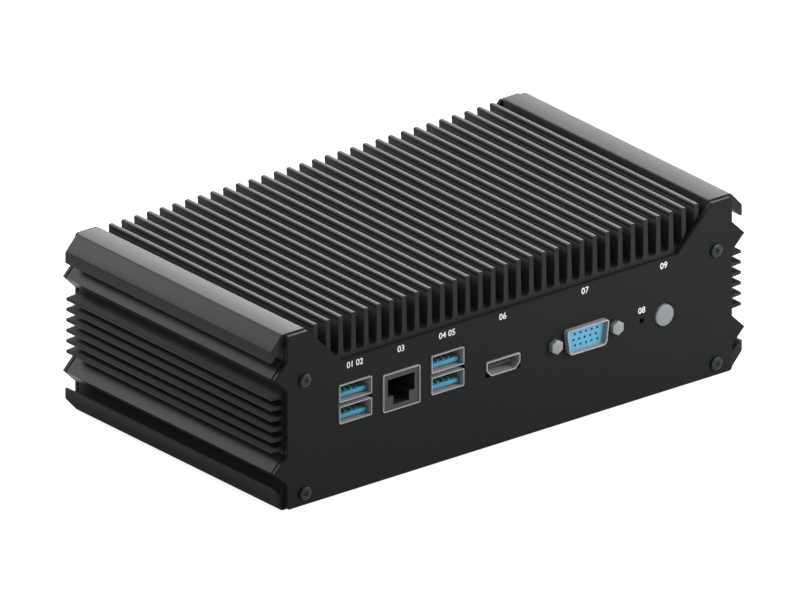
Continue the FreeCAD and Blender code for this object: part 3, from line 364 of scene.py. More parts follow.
def circuit_board(name, rgb):
    """Solder mask over copper: faint raised tracks in a grid, and small plated pads."""
    shader = Shader(name)
    place = shader.place()
    tracks = shader.node(
        "ShaderNodeTexBrick", {"offset": 0.5, "squash": 1.0},
        {"Vector": place, "Scale": 260.0, "Mortar Size": 0.03, "Brick Width": 0.6, "Row Height": 0.28},
    )
    line = Wire(shader, tracks.outputs["Fac"])
    pads = shader.ramp(shader.cells(place, 330.0), (0.10, 1.0), (0.16, 0.0))
    mask = shader.blend(line, rgb, shaded(rgb, 1.7))
    shader.set(
        Base_Color=shader.blend(pads, mask, (0.62, 0.60, 0.55)),
        Metallic=pads * 0.9,
        Roughness=0.42 - line * 0.1,
    )
    return shader.bump((line + pads).clamped(), 0.00004).material


def ink(name, rgb):
    """Screen-printed ink, slightly uneven at its edges."""
    shader = Shader(name)
    mesh_mark = shader.noise(shader.place(), 3000.0, 2.0)
    shader.set(
        Base_Color=shader.blend(mesh_mark, shaded(rgb, 0.92), rgb),
        Roughness=mesh_mark * 0.1 + 0.5,
    )
    return shader.bump(mesh_mark, 0.00001).material


def make_finishes(scene):
    """Every material of the record's slots, by slot name."""
    housing, sockets = scene.fanless_housing, scene.fanless_sockets
    return {
        "black_anodised": anodised("black_anodised", housing.extrusion),
        "black_panel": powder_coat("black_panel", housing.panel),
        "black_sheet": powder_coat("black_sheet", shaded(housing.panel, 1.3), 1100.0),
        "seal_rubber": rubber("seal_rubber", (0.006, 0.006, 0.007)),
        "black_screw": blackened("black_screw", housing.screw),
        "plated_shell": plated("plated_shell", sockets.shell, 0.42, 0.30),
        "blue_insert": moulded("blue_insert", sockets.blue, 0.42),
        "pale_blue_insert": moulded("pale_blue_insert", sockets.pale_blue, 0.45),
        "slate_insert": moulded("slate_insert", sockets.slate, 0.5),
        "black_insert": moulded("black_insert", (0.010, 0.010, 0.011), 0.5),
        "gold_contact": plated("gold_contact", (0.83, 0.62, 0.28), 0.28),
        "nickel": plated("nickel", (0.24, 0.255, 0.26), 0.40, 0.3),
        "grey_button": moulded("grey_button", sockets.button, 0.42),
        "board_green": circuit_board("board_green", (0.008, 0.075, 0.040)),
        "steel_post": plated("steel_post", (0.55, 0.55, 0.54), 0.34),
        "zinc_screw": plated("zinc_screw", (0.58, 0.60, 0.63), 0.32),
        "chip_black": moulded("chip_black", (0.015, 0.015, 0.016), 0.6, 2600.0),
        "grey_pad": rubber("grey_pad", (0.30, 0.32, 0.34)),
        "bare_aluminium": milled("bare_aluminium", (0.74, 0.75, 0.76)),
        "cell_steel": plated("cell_steel", (0.66, 0.66, 0.66), 0.25),
        "coil_grey": moulded("coil_grey", (0.060, 0.060, 0.064), 0.6, 2200.0),
    }


# ---------------------------------------------------------------- meshes

SMOOTH_LIMIT = 35.0
CORNER_SEGMENTS = 4


def chain(bm, corners, y):
    """Edges from one corner to the next, in the plane across Y; returns the edges."""
    verts = [bm.verts.new((x, y, z)) for x, z in corners]
    return [bm.edges.new(pair) for pair in zip(verts, verts[1:])]


def drawn_along_y(bm, edges, distance):
    """Extrude edges along Y; returns the new edges at the far end."""
    made = bmesh.ops.extrude_edge_only(bm, edges=edges)["geom"]
    verts = [item for item in made if isinstance(item, bmesh.types.BMVert)]
    bmesh.ops.translate(bm, verts=verts, vec=(0.0, distance, 0.0))
    return [item for item in made if isinstance(item, bmesh.types.BMEdge)]


def sheet(corners, y, radius=0.0):
    """A bmesh that holds one flat face across Y, its corners rounded."""
    bm = bmesh.new()
    verts = [bm.verts.new((x, y, z)) for x, z in corners]
    bm.faces.new(verts)
    if radius:
        bmesh.ops.bevel(
            bm, geom=verts, offset=radius, offset_type="OFFSET", affect="VERTICES",
            segments=CORNER_SEGMENTS, profile=0.5, material=-1,
        )
    return bm


def tube(corners, front, wall, pocket, reach, radius, soften):
    """The mouth of a sheet-metal shell: a rim, the pocket inside it and its outside, open at the far end."""
    bm = sheet(corners, front, radius)
    face = bm.faces[:][0]
    bmesh.ops.inset_region(bm, faces=[face], thickness=wall, use_boundary=True, use_even_offset=True)
    outside = [edge for edge in bm.edges if edge.is_boundary]
    bmesh.ops.delete(bm, geom=[face], context="FACES_ONLY")
    inside = [edge for edge in bm.edges if edge.is_boundary and edge not in outside]
    bmesh.ops.contextual_create(bm, geom=drawn_along_y(bm, inside, pocket))
    drawn_along_y(bm, outside, reach)
    rounded(bm, inside + outside, soften, 2)
    return bm


def rectangle(x, z):
    """Corners of a rectangle between two pairs of limits."""
    return [(x[0], z[0]), (x[1], z[0]), (x[1], z[1]), (x[0], z[1])]


def about(middle, width):
    return (middle - width / 2, middle + width / 2)


def row_of(count, middle, pitch):
    """Places in a row, centred on its middle."""
    return [middle + pitch * (number - (count - 1) / 2) for number in range(count)]


def add_box(bm, x, y, z):
    """A box between three pairs of limits; returns its vertices."""
    centre = Vector([(low + high) / 2 for low, high in (x, y, z)])
    size = [high - low for low, high in (x, y, z)]
    place = Matrix.Translation(centre) @ Matrix.Diagonal((*size, 1.0))
    return bmesh.ops.create_cube(bm, size=1.0, matrix=place)["verts"]


def edges_at(bm, verts, y):
    """The edges of a group of vertices that lie at one level along Y."""
    near = {vert for vert in verts if vert.is_valid and abs(vert.co.y - y) < SAME}
    return [edge for edge in bm.edges if near.issuperset(edge.verts)]


def rim_at(bm, y):
    """The open edges at one level along Y."""
    return [
        edge for edge in bm.edges
        if edge.is_boundary and all(abs(vert.co.y - y) < SAME for vert in edge.verts)
    ]


def filled(bm, y):
    """Close the outlines at one level along Y, leaving the inner ones open."""
    bmesh.ops.triangle_fill(bm, edges=rim_at(bm, y), use_beauty=True)


def absorb(bm, other):
    """Add the contents of another bmesh, which is used up."""
    mesh = bpy.data.meshes.new("part_of_piece")
    other.to_mesh(mesh)
    other.free()
    bm.from_mesh(mesh)
    bpy.data.meshes.remove(mesh)


def lengthwise(bm, x, z):
    """The edges that run along Y through one corner of the section."""
    def at(vert):
        return abs(vert.co.x - x) < CORNER_REACH and abs(vert.co.z - z) < CORNER_REACH
    return [edge for edge in bm.edges if at(edge.verts[0]) and at(edge.verts[1])]


def rounded(bm, edges, radius, segments=5):
    bmesh.ops.bevel(
        bm, geom=edges, offset=radius, offset_type="OFFSET", affect="EDGES",
        segments=segments, profile=0.5, material=-1,
    )


def doubled(bm):
    """Mirror across the middle plane and join what meets there."""
    geom = bm.verts[:] + bm.edges[:] + bm.faces[:]
    bmesh.ops.mirror(bm, geom=geom, axis="X", merge_dist=SAME)


def shade_by_angle(bm):
    """Smooth shading, with a sharp edge wherever two faces turn by more than the limit."""
    limit = math.radians(SMOOTH_LIMIT)
    for face in bm.faces:
        face.smooth = True
    for edge in bm.edges:
        edge.smooth = edge.is_manifold and edge.calc_face_angle(0.0) < limit


def finish_piece(bm, name, body, slot, replaces=()):
    """Close a bmesh, in millimetres, into a piece of the model, in metres, with its slot's finish."""
    bmesh.ops.remove_doubles(bm, verts=bm.verts[:], dist=SAME)
    bmesh.ops.recalc_face_normals(bm, faces=bm.faces[:])
    shade_by_angle(bm)
    bmesh.ops.scale(bm, vec=(MM, MM, MM), verts=bm.verts[:])
    mesh = bpy.data.meshes.new(name)
    bm.to_mesh(mesh)
    bm.free()
    mesh.materials.append(finish(slot))
    piece = bpy.data.objects.new(name, mesh)
    bpy.context.scene.collection.objects.link(piece)
    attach(piece, body)
    if replaces:
        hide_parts(*replaces)
    return piece


def span(node):
    """Lowest and highest corner of a node, in millimetres."""
    low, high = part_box(node)
    return low / MM, high / MM


def middle(node):
    low, high = span(node)
    return (low + high) / 2


def finish(name):
    material = bpy.data.materials.get(finish_name(name))
    if material is None:
        raise RuntimeError(f"finish {name} isn't made yet")
    return material


# ---------------------------------------------------------------- chassis

EDGE_SLOPE = (4.7, 5.2)
RAIL_WIDTH = 9.3
LIP_FACE = 3.7
LIP_END = 0.8
SLOT_DEPTH = 5.5
RIDGE_LEVEL = 14.3
RIDGE_REACH = 5.1
FIN_HEIGHT = 13.4
FIN_THICK = 1.8
FIN_FOOT = 2.2
FIN_MARGIN = 4.7
FIN_COUNT = 31
SIDE_FINS = 6
SIDE_PITCH = 3.65
SIDE_ROOT = 1.9
SIDE_TIP = 1.3
SIDE_ROUND = 0.3
WALL = 3.0
BOSS = (7.7, 4.2)
LEDGE = (12.5, 6.0)
COVER_THICK = 2.0
COVER_LAP = 10.0
# How near the middle of a strip has to lie to the place where it is looked for.
STRIP_REACH = 0.5


def lip_and_ridge(half, level, inwards):
    """Outer corners of one long edge: slope, hooked lip, slanted slot and vee ridge."""
    root = half - SLOT_DEPTH
    drop = EDGE_SLOPE[1] + LIP_FACE
    hook = SLOT_DEPTH - LIP_END
    steps = [
        (half - EDGE_SLOPE[0], 0.0),
        (half, EDGE_SLOPE[1]),
        (half, drop),
        (half - LIP_END, drop),
        (root, drop - hook),
        (root, RIDGE_LEVEL - RIDGE_REACH),
        (root + RIDGE_REACH, RIDGE_LEVEL),
        (root, RIDGE_LEVEL + RIDGE_REACH),
    ]
    return [(x, level + step * inwards) for x, step in steps]


def side_fin_corners(root, level):
    tip = root + RIDGE_REACH
    return [
        (root, level + SIDE_ROOT / 2), (tip, level + SIDE_TIP / 2),
        (tip, level - SIDE_TIP / 2), (root, level - SIDE_ROOT / 2),
    ]


def cut_ribs(bm, faces, pitch, depth, direction):
    """Crease flat strips into fine ribs that run along Y, cut inwards along one direction."""
    edges = {edge for face in faces for edge in face.edges}
    ends = [edge for edge in edges if abs(edge.verts[0].co.y - edge.verts[1].co.y) < SAME]
    if not ends:
        raise RuntimeError("no strip to rib")
    run = max(edge.calc_length() for edge in ends)
    cuts = 2 * round(run / pitch) - 1
    made = bmesh.ops.subdivide_edges(bm, edges=ends, cuts=cuts, use_grid_fill=True)
    fresh = [item for item in made["geom_inner"] if isinstance(item, bmesh.types.BMVert)]
    across = Vector((direction[1], 0.0, -direction[0]))
    rows = sorted({round(vert.co.dot(across), 3) for vert in fresh})
    low = [vert for vert in fresh if rows.index(round(vert.co.dot(across), 3)) % 2 == 0]
    bmesh.ops.translate(bm, verts=low, vec=Vector((direction[0], 0.0, direction[1])) * -depth)


def strip_at(bm, test):
    """Flat strips of the drawn section whose middle passes a test."""
    return [face for face in bm.faces if test(face.calc_center_median(), face.normal)]


class FanlessChassis(Operator):
    """Add the finned extrusion, with its rounded and finely ribbed fins"""

    bl_idname = "fanless.chassis"
    bl_label = "Finned extrusion"

    def execute(self, context):
        sizes = context.scene.fanless_housing
        low, high = span("chassis_extrusion")
        half, top = high.x, high.z
        floor = top - FIN_HEIGHT
        rail = half - EDGE_SLOPE[0] - RAIL_WIDTH
        pitch = 2 * (rail - FIN_MARGIN) / (FIN_COUNT - 1)
        bm = self.fin(sizes, low.y, high.y - low.y, floor, top, pitch)
        fin = bm.verts[:] + bm.edges[:] + bm.faces[:]
        first = -(rail - FIN_MARGIN)
        bmesh.ops.translate(bm, verts=bm.verts[:], vec=(first, 0.0, 0.0))
        for number in range(1, FIN_COUNT):
            copy = bmesh.ops.duplicate(bm, geom=fin)["geom"]
            verts = [item for item in copy if isinstance(item, bmesh.types.BMVert)]
            bmesh.ops.translate(bm, verts=verts, vec=(pitch * number, 0.0, 0.0))
        self.add_frame(bm, sizes, low.y, high.y - low.y, half, top, floor, rail, pitch)
        bmesh.ops.remove_doubles(bm, verts=bm.verts[:], dist=CORNER_REACH)
        for y in (low.y, high.y):
            filled(bm, y)
        finish_piece(bm, "finned_extrusion", "housing", "black_anodised", ["chassis_extrusion"])
        return {"FINISHED"}

    def fin(self, sizes, start, run, floor, top, pitch):
        """One fin with half a gap on each side of it, centred on the middle plane."""
        side, foot = FIN_THICK / 2, FIN_FOOT / 2
        band = sizes.plain_top / MM
        corners = [(pitch / 2, floor), (foot, floor), (side, top - band), (side, top), (0.0, top)]
        bm = bmesh.new()
        drawn_along_y(bm, chain(bm, corners, start), run)
        rounded(bm, lengthwise(bm, side, top), sizes.tip_round / MM)
        rounded(bm, lengthwise(bm, foot, floor), sizes.root_round / MM)
        halfway = (side + foot) / 2
        flank = strip_at(bm, lambda c, n: abs(c.x - halfway) < 0.1 and abs(n.x) > 0.9 and c.z < top - band)
        cut_ribs(bm, flank, sizes.rib_pitch / MM, sizes.rib_depth / MM, (1.0, 0.0))
        doubled(bm)
        return bm

    def add_frame(self, bm, sizes, start, run, half, top, floor, rail, pitch):
        """The rails, sides and hollow, from the last fin's gap round to the roof's middle."""
        root = half - SLOT_DEPTH
        inner = root - WALL
        roof = floor - WALL
        levels = [top / 2 + SIDE_PITCH * ((SIDE_FINS - 1) / 2 - i) for i in range(SIDE_FINS)]
        corners = [
            (rail - FIN_MARGIN + pitch / 2, floor), (rail, floor), (rail, top),
            *lip_and_ridge(half, top, -1),
            *(corner for level in levels for corner in side_fin_corners(root, level)),
            *reversed(lip_and_ridge(half, 0.0, 1)),
            (inner - LEDGE[0] + COVER_LAP, 0.0), (inner - LEDGE[0] + COVER_LAP, COVER_THICK),
            (inner - LEDGE[0], COVER_THICK), (inner - LEDGE[0], COVER_THICK + LEDGE[1]),
            (inner, COVER_THICK + LEDGE[1]), (inner, roof - BOSS[1]),
            (inner - BOSS[0], roof - BOSS[1]), (inner - BOSS[0], roof), (0.0, roof),
        ]
        frame_bm = bmesh.new()
        drawn_along_y(frame_bm, chain(frame_bm, corners, start), run)
        rounded(frame_bm, lengthwise(frame_bm, rail, floor), sizes.root_round / MM)
        soft = sizes.edge_round / MM
        slope = half - EDGE_SLOPE[0]
        edges = ((rail, top), (slope, top), (half, top - EDGE_SLOPE[1]), (slope, 0.0), (half, EDGE_SLOPE[1]))
        for x, z in edges:
            rounded(frame_bm, lengthwise(frame_bm, x, z), soft, 3)
        tip = root + RIDGE_REACH
        flanks = [(level, sign) for level in levels for sign in (-1, 1)]
        for level, sign in flanks:
            rounded(frame_bm, lengthwise(frame_bm, tip, level + sign * SIDE_TIP / 2), SIDE_ROUND, 2)
        thick = (SIDE_ROOT + SIDE_TIP) / 2
        for level, sign in flanks:
            place = Vector(((root + tip) / 2, level + sign * thick / 2))
            near = strip_at(frame_bm, lambda c, n: (c.xz - place).length < STRIP_REACH)
            pitch, depth = sizes.side_rib_pitch / MM, sizes.side_rib_depth / MM
            cut_ribs(frame_bm, near, pitch, depth, (0.0, float(sign)))
        doubled(frame_bm)
        absorb(bm, frame_bm)


# ---------------------------------------------------------------- screws


PAN_HEAD = ((0.86, -0.08), (0.96, -0.22), (1.0, -0.5), (1.0, -1.0))
PAN_RADIUS = 2.3
PAN_RECESS = 0.55
PAN_TWISTS = (17.0, 31.0, 52.0)
FLAT_HEAD = ((0.90, 0.0), (0.97, 0.0), (1.0, -0.04), (0.53, -1.0))
FLAT_RADIUS = 2.75
FLAT_CONE = 1.3
FLAT_RECESS = 0.7
FLAT_TWISTS = (23.0, 40.0, 67.0)
CROSS_CELLS = 7
CROSS_REACH = 0.5
CROSS_TAPER = 0.85


def twisted(twists, column, row):
    """How far round a screw was driven: the first screw's angle, and what each column and row add."""
    first, by_column, by_row = twists
    return Matrix.Rotation(math.radians(first + by_column * column + by_row * row), 4, "Z")


def add_head(bm, radius, high, recess, shape):
    """A screw head, its seat at zero and its face along +Z, with a cross recess.

    The shape gives shares of the radius, and of the height downwards, from the face to the seat.
    """
    reach = radius * CROSS_REACH
    bmesh.ops.create_grid(bm, x_segments=CROSS_CELLS, y_segments=CROSS_CELLS, size=reach)
    width = 2 * reach / CROSS_CELLS
    cross = [
        face for face in bm.faces
        if min(abs(face.calc_center_median().x), abs(face.calc_center_median().y)) < width / 2
    ]
    sunk = bmesh.ops.extrude_face_region(bm, geom=cross)["geom"]
    bmesh.ops.delete(bm, geom=cross, context="FACES_ONLY")
    verts = [item for item in sunk if isinstance(item, bmesh.types.BMVert)]
    bmesh.ops.translate(bm, verts=verts, vec=(0.0, 0.0, -recess))
    bmesh.ops.scale(bm, verts=verts, vec=(CROSS_TAPER, CROSS_TAPER, 1.0))
    square = [edge for edge in bm.edges if edge.is_boundary]
    count = len(square)
    turn = Matrix.Rotation(math.radians(45.0), 4, "Z")
    share, level = shape[0]
    ring = bmesh.ops.create_circle(
        bm, segments=count, radius=radius * share, cap_ends=False, matrix=turn,
    )["verts"]
    bmesh.ops.translate(bm, verts=ring, vec=(0.0, 0.0, high * level))
    loop = list({edge for vert in ring for edge in vert.link_edges})
    bmesh.ops.bridge_loops(bm, edges=square + loop)
    for share, level in shape[1:]:
        made = bmesh.ops.extrude_edge_only(bm, edges=loop)["geom"]
        verts = [item for item in made if isinstance(item, bmesh.types.BMVert)]
        loop = [item for item in made if isinstance(item, bmesh.types.BMEdge)]
        scale = share * radius / verts[0].co.xy.length
        bmesh.ops.scale(bm, verts=verts, vec=(scale, scale, 1.0))
        lift = high * level - verts[0].co.z
        bmesh.ops.translate(bm, verts=verts, vec=(0.0, 0.0, lift))
    bmesh.ops.contextual_create(bm, geom=loop)
    bmesh.ops.translate(bm, verts=bm.verts[:], vec=(0.0, 0.0, high))


def copies(bm, places):
    """Repeat everything in a bmesh at each place, and remove the first."""
    base = bm.verts[:] + bm.edges[:] + bm.faces[:]
    verts = bm.verts[:]
    for matrix in places:
        made = bmesh.ops.duplicate(bm, geom=base)["geom"]
        fresh = [item for item in made if isinstance(item, bmesh.types.BMVert)]
        bmesh.ops.transform(bm, matrix=matrix, verts=fresh)
    bmesh.ops.delete(bm, geom=verts, context="VERTS")


class FanlessPanelScrews(Operator):
    """Add the pan heads with cross recesses at the corners of both end panels"""

    bl_idname = "fanless.panel_screws"
    bl_label = "Panel screws"

    def execute(self, context):
        for node, side in (("front_panel_screws", -1), ("rear_panel_screws", 1)):
            low, high = span(node)
            face = span("front_panel")[0].y if side < 0 else span("rear_panel")[1].y
            out = abs((low.y if side < 0 else high.y) - face)
            bm = bmesh.new()
            add_head(bm, PAN_RADIUS, out, out * PAN_RECESS, PAN_HEAD)
            upright = Matrix.Rotation(math.radians(-90.0 * side), 4, "X")
            places = [
                Matrix.Translation((x, face, z)) @ upright @ twisted(PAN_TWISTS, column, row)
                for column, x in enumerate((low.x + PAN_RADIUS, high.x - PAN_RADIUS))
                for row, z in enumerate((low.z + PAN_RADIUS, high.z - PAN_RADIUS))
            ]
            copies(bm, places)
            finish_piece(bm, f"{node}_heads", "housing", "black_screw", [node])
        return {"FINISHED"}


class FanlessCoverScrews(Operator):
    """Add the countersunk heads under the bottom cover"""

    bl_idname = "fanless.cover_screws"
    bl_label = "Cover screws"

    def execute(self, context):
        low, high = span("bottom_cover_screws")
        bm = bmesh.new()
        add_head(bm, FLAT_RADIUS, FLAT_CONE, FLAT_CONE * FLAT_RECESS, FLAT_HEAD)
        over = Matrix.Rotation(math.pi, 4, "X")
        places = [
            Matrix.Translation((x, y, low.z + FLAT_CONE)) @ over @ twisted(FLAT_TWISTS, column, row)
            for column, x in enumerate((low.x + FLAT_RADIUS, high.x - FLAT_RADIUS))
            for row, y in enumerate((low.y + FLAT_RADIUS, high.y - FLAT_RADIUS))
        ]
        copies(bm, places)
        finish_piece(bm, "cover_screw_heads", "housing", "black_screw", ["bottom_cover_screws"])
        return {"FINISHED"}


# ---------------------------------------------------------------- sockets

SHELL_WALL = 0.35
PANEL_THICK = 1.5

MOUTH_HEIGHT = 5.4
STACK_ROUND = 0.45
STACK_PITCH = 7.5
STACK_STEP = 3.2
STACK_ROOT = 12.5
TONGUE_WIDTH = 11.4
TONGUE_THICK = 1.55
TONGUE_ROUND = 0.22
# GROOVE_WIDTH to GROOVE_LIFT size the black boxes that paint the shade in each tongue's contact grooves: they
# sink into the tongue's top and stand a little above it.
GROOVE_WIDTH = 1.5
GROOVE_START = 0.3
GROOVE_DEPTH = 0.2
GROOVE_LIFT = 0.02
STRIP_COUNT = 5
STRIP_PITCH = 2.3
STRIP_WIDTH = 0.8
STRIP_START = 0.75
STRIP_SUNK = 0.1
STRIP_PROUD = 0.15
STRIP_ROUND = 0.1

JACK_POCKET = 16.1
JACK_ROUND = 0.5

VIDEO_HEIGHT = 5.2
VIDEO_CORNER = 2.2
VIDEO_BOTTOM = 10.0
VIDEO_ROUND = 0.5
VIDEO_WALL = 0.4
VIDEO_LENGTH = 12.0
VIDEO_SEAT_WIDTH = 9.0
VIDEO_SEAT_START = 5.0
VIDEO_SEAT_LAP = 0.2
VIDEO_BLOCK = 3.1
VIDEO_TONGUE_DROP = 2.0
VIDEO_TONGUE_WIDTH = 9.2
VIDEO_TONGUE_THICK = 0.8
VIDEO_TONGUE_ROUND = 0.18
VIDEO_STRIP_COUNT = 10
VIDEO_STRIP_PITCH = 0.9
VIDEO_STRIP_WIDTH = 0.42
VIDEO_STRIP_START = 0.25
VIDEO_STRIP_PROUD = 0.1
VIDEO_STRIP_ROUND = 0.08

DSUB_WALL = 0.5
DSUB_TOP = 17.55
DSUB_BOTTOM = 15.15
DSUB_HEIGHT = 8.7
DSUB_ROUND = 1.2
DSUB_PROUD = 1.85
DSUB_POCKET = 0.8
DSUB_RECESS = 1.65
FLANGE_ROUND = 1.0
FACE_GAP = 0.02
FACE_THICK = 0.9
PIN_PITCH = 2.29
PIN_ROW_PITCH = 1.98
PIN_ROW_SHIFT = 0.57
PIN_RADIUS = 0.46
PIN_DEPTH = 4.0
HEX_FLATS = 4.4
HEX_ROUND = 0.3
SHANK_RADIUS = 1.4

BUTTON_RADIUS = 3.7
BUTTON_ROUND = 0.4
BUTTON_FLANGE = 5.2
BUTTON_FLANGE_DEPTHS = (1.9, 2.7)
BUTTON_STEM = 3.6


class FanlessStackedPorts(Operator):
    """Add the two stacked ports: rims, tongues and their contact strips"""

    bl_idname = "fanless.stacked_ports"
    bl_label = "Stacked ports"

    def execute(self, context):
        soften = context.scene.fanless_sockets.rim_edge / MM
        for port in ("left_stacked_port", "right_stacked_port"):
            self.add_shell(port, soften)
            self.add_insert(port)
            self.add_strips(port)
        return {"FINISHED"}

    def add_shell(self, port, soften):
        low, high = span(f"{port}_shell")
        step = low.y + STACK_STEP
        bm = bmesh.new()
        for top in (high.z, high.z - STACK_PITCH):
            mouth = rectangle((low.x, high.x), (top - MOUTH_HEIGHT - 2 * SHELL_WALL, top))
            absorb(bm, tube(mouth, low.y, SHELL_WALL, STACK_ROOT, STACK_STEP, STACK_ROUND, soften))
        case = sheet(rectangle((low.x, high.x), (low.z, high.z)), high.y)
        drawn_along_y(case, case.edges[:], step - high.y)
        absorb(bm, case)
        filled(bm, step)
        finish_piece(bm, f"{port}_case", "housing", "plated_shell", [f"{port}_shell"])

    def add_insert(self, port):
        shell = span(f"{port}_shell")[0]
        low, high = span(f"{port}_insert")
        bm = bmesh.new()
        root = shell.y + STACK_ROOT
        add_box(bm, (low.x, high.x), (root, high.y), (low.z, high.z))
        for x, z, y in self.tongues(port):
            verts = add_box(bm, x, (y, root), z)
            rounded(bm, edges_at(bm, verts, y), TONGUE_ROUND, 2)
        finish_piece(bm, f"{port}_tongues", "housing", "blue_insert", [f"{port}_insert"])

    def tongues(self, port):
        """Limits across and up of each tongue, and the level of its front."""
        low, high = span(f"{port}_insert")
        top = span(f"{port}_contacts")[0].z
        x = about((low.x + high.x) / 2, TONGUE_WIDTH)
        return [(x, (level - TONGUE_THICK, level), low.y) for level in (top, top + STACK_PITCH)]

    def add_strips(self, port):
        """Contact strips along the top of each tongue, each lying on a black box that paints the shade of its
        contact groove.
        """
        low, high = span(f"{port}_contacts")
        # slots gathers the black boxes of painted groove shade; strips gathers the gold contacts.
        slots, strips = bmesh.new(), bmesh.new()
        for x, z, y in self.tongues(port):
            for place in row_of(STRIP_COUNT, (x[0] + x[1]) / 2, STRIP_PITCH):
                painted_shade_levels = (z[1] - GROOVE_DEPTH, z[1] + GROOVE_LIFT)
                add_box(slots, about(place, GROOVE_WIDTH), (y + GROOVE_START, high.y), painted_shade_levels)
                start, face = y + STRIP_START, (z[1] - STRIP_SUNK, z[1] + STRIP_PROUD)
                strip = add_box(strips, about(place, STRIP_WIDTH), (start, high.y), face)
                rounded(strips, edges_at(strips, strip, start), STRIP_ROUND, 2)
        # The black boxes are painted shade of the contact grooves, not a part of their own.
        finish_piece(slots, f"{port}_slots", "housing", "black_insert")
        finish_piece(strips, f"{port}_strips", "housing", "gold_contact", [f"{port}_contacts"])


class FanlessJacks(Operator):
    """Add the folded shells of the console jack and the four network jacks"""

    bl_idname = "fanless.jacks"
    bl_label = "Jack shells"

    def execute(self, context):
        soften = context.scene.fanless_sockets.rim_edge / MM
        for jack in ("console_jack", *(f"network_jack_{number}" for number in range(1, 5))):
            low, high = span(f"{jack}_shell")
            inwards = 1.0 if low.y < 0.0 else -1.0
            front = low.y if low.y < 0.0 else high.y
            outline = rectangle((low.x, high.x), (low.z, high.z))
            length = (high.y - low.y) * inwards
            bm = tube(outline, front, SHELL_WALL, JACK_POCKET * inwards, length, JACK_ROUND, soften)
            filled(bm, front + length)
            finish_piece(bm, f"{jack}_case", "housing", "plated_shell", [f"{jack}_shell"])
        return {"FINISHED"}


class FanlessVideoPort(Operator):
    """Add the video port: a rim with two cut corners, a tongue and its contact strips"""

    bl_idname = "fanless.video_port"
    bl_label = "Video port"

    def execute(self, context):
        soften = context.scene.fanless_sockets.rim_edge / MM
        low, high = span("video_port_shell")
        centre = (low.x + high.x) / 2
        floor = high.z - VIDEO_HEIGHT
        outline = [
            (centre - VIDEO_BOTTOM / 2, floor), (centre + VIDEO_BOTTOM / 2, floor),
            (high.x, floor + VIDEO_CORNER), (high.x, high.z), (low.x, high.z), (low.x, floor + VIDEO_CORNER),
        ]
        pocket = VIDEO_LENGTH - VIDEO_WALL
        bm = tube(outline, low.y, VIDEO_WALL, pocket, VIDEO_LENGTH, VIDEO_ROUND, soften)
        filled(bm, low.y + VIDEO_LENGTH)
        seat = (low.y + VIDEO_SEAT_START, high.y)
        add_box(bm, about(centre, VIDEO_SEAT_WIDTH), seat, (low.z, floor + VIDEO_SEAT_LAP))
        finish_piece(bm, "video_port_case", "housing", "plated_shell", ["video_port_shell"])
        self.add_tongue()
        return {"FINISHED"}

    def add_tongue(self):
        low, high = span("video_port_insert")
        centre = (low.x + high.x) / 2
        root = high.y - VIDEO_BLOCK
        top = high.z - VIDEO_TONGUE_DROP
        bm, strips = bmesh.new(), bmesh.new()
        add_box(bm, about(centre, VIDEO_BOTTOM), (root, high.y), (low.z, high.z))
        tongue = (top - VIDEO_TONGUE_THICK, top)
        verts = add_box(bm, about(centre, VIDEO_TONGUE_WIDTH), (low.y, root), tongue)
        rounded(bm, edges_at(bm, verts, low.y), VIDEO_TONGUE_ROUND, 2)
        start, face = low.y + VIDEO_STRIP_START, about(top, 2 * VIDEO_STRIP_PROUD)
        for place in row_of(VIDEO_STRIP_COUNT, centre, VIDEO_STRIP_PITCH):
            strip = add_box(strips, about(place, VIDEO_STRIP_WIDTH), (start, root), face)
            rounded(strips, edges_at(strips, strip, start), VIDEO_STRIP_ROUND, 2)
        finish_piece(bm, "video_port_tongue", "housing", "black_insert", ["video_port_insert"])
        finish_piece(strips, "video_port_strips", "housing", "nickel")


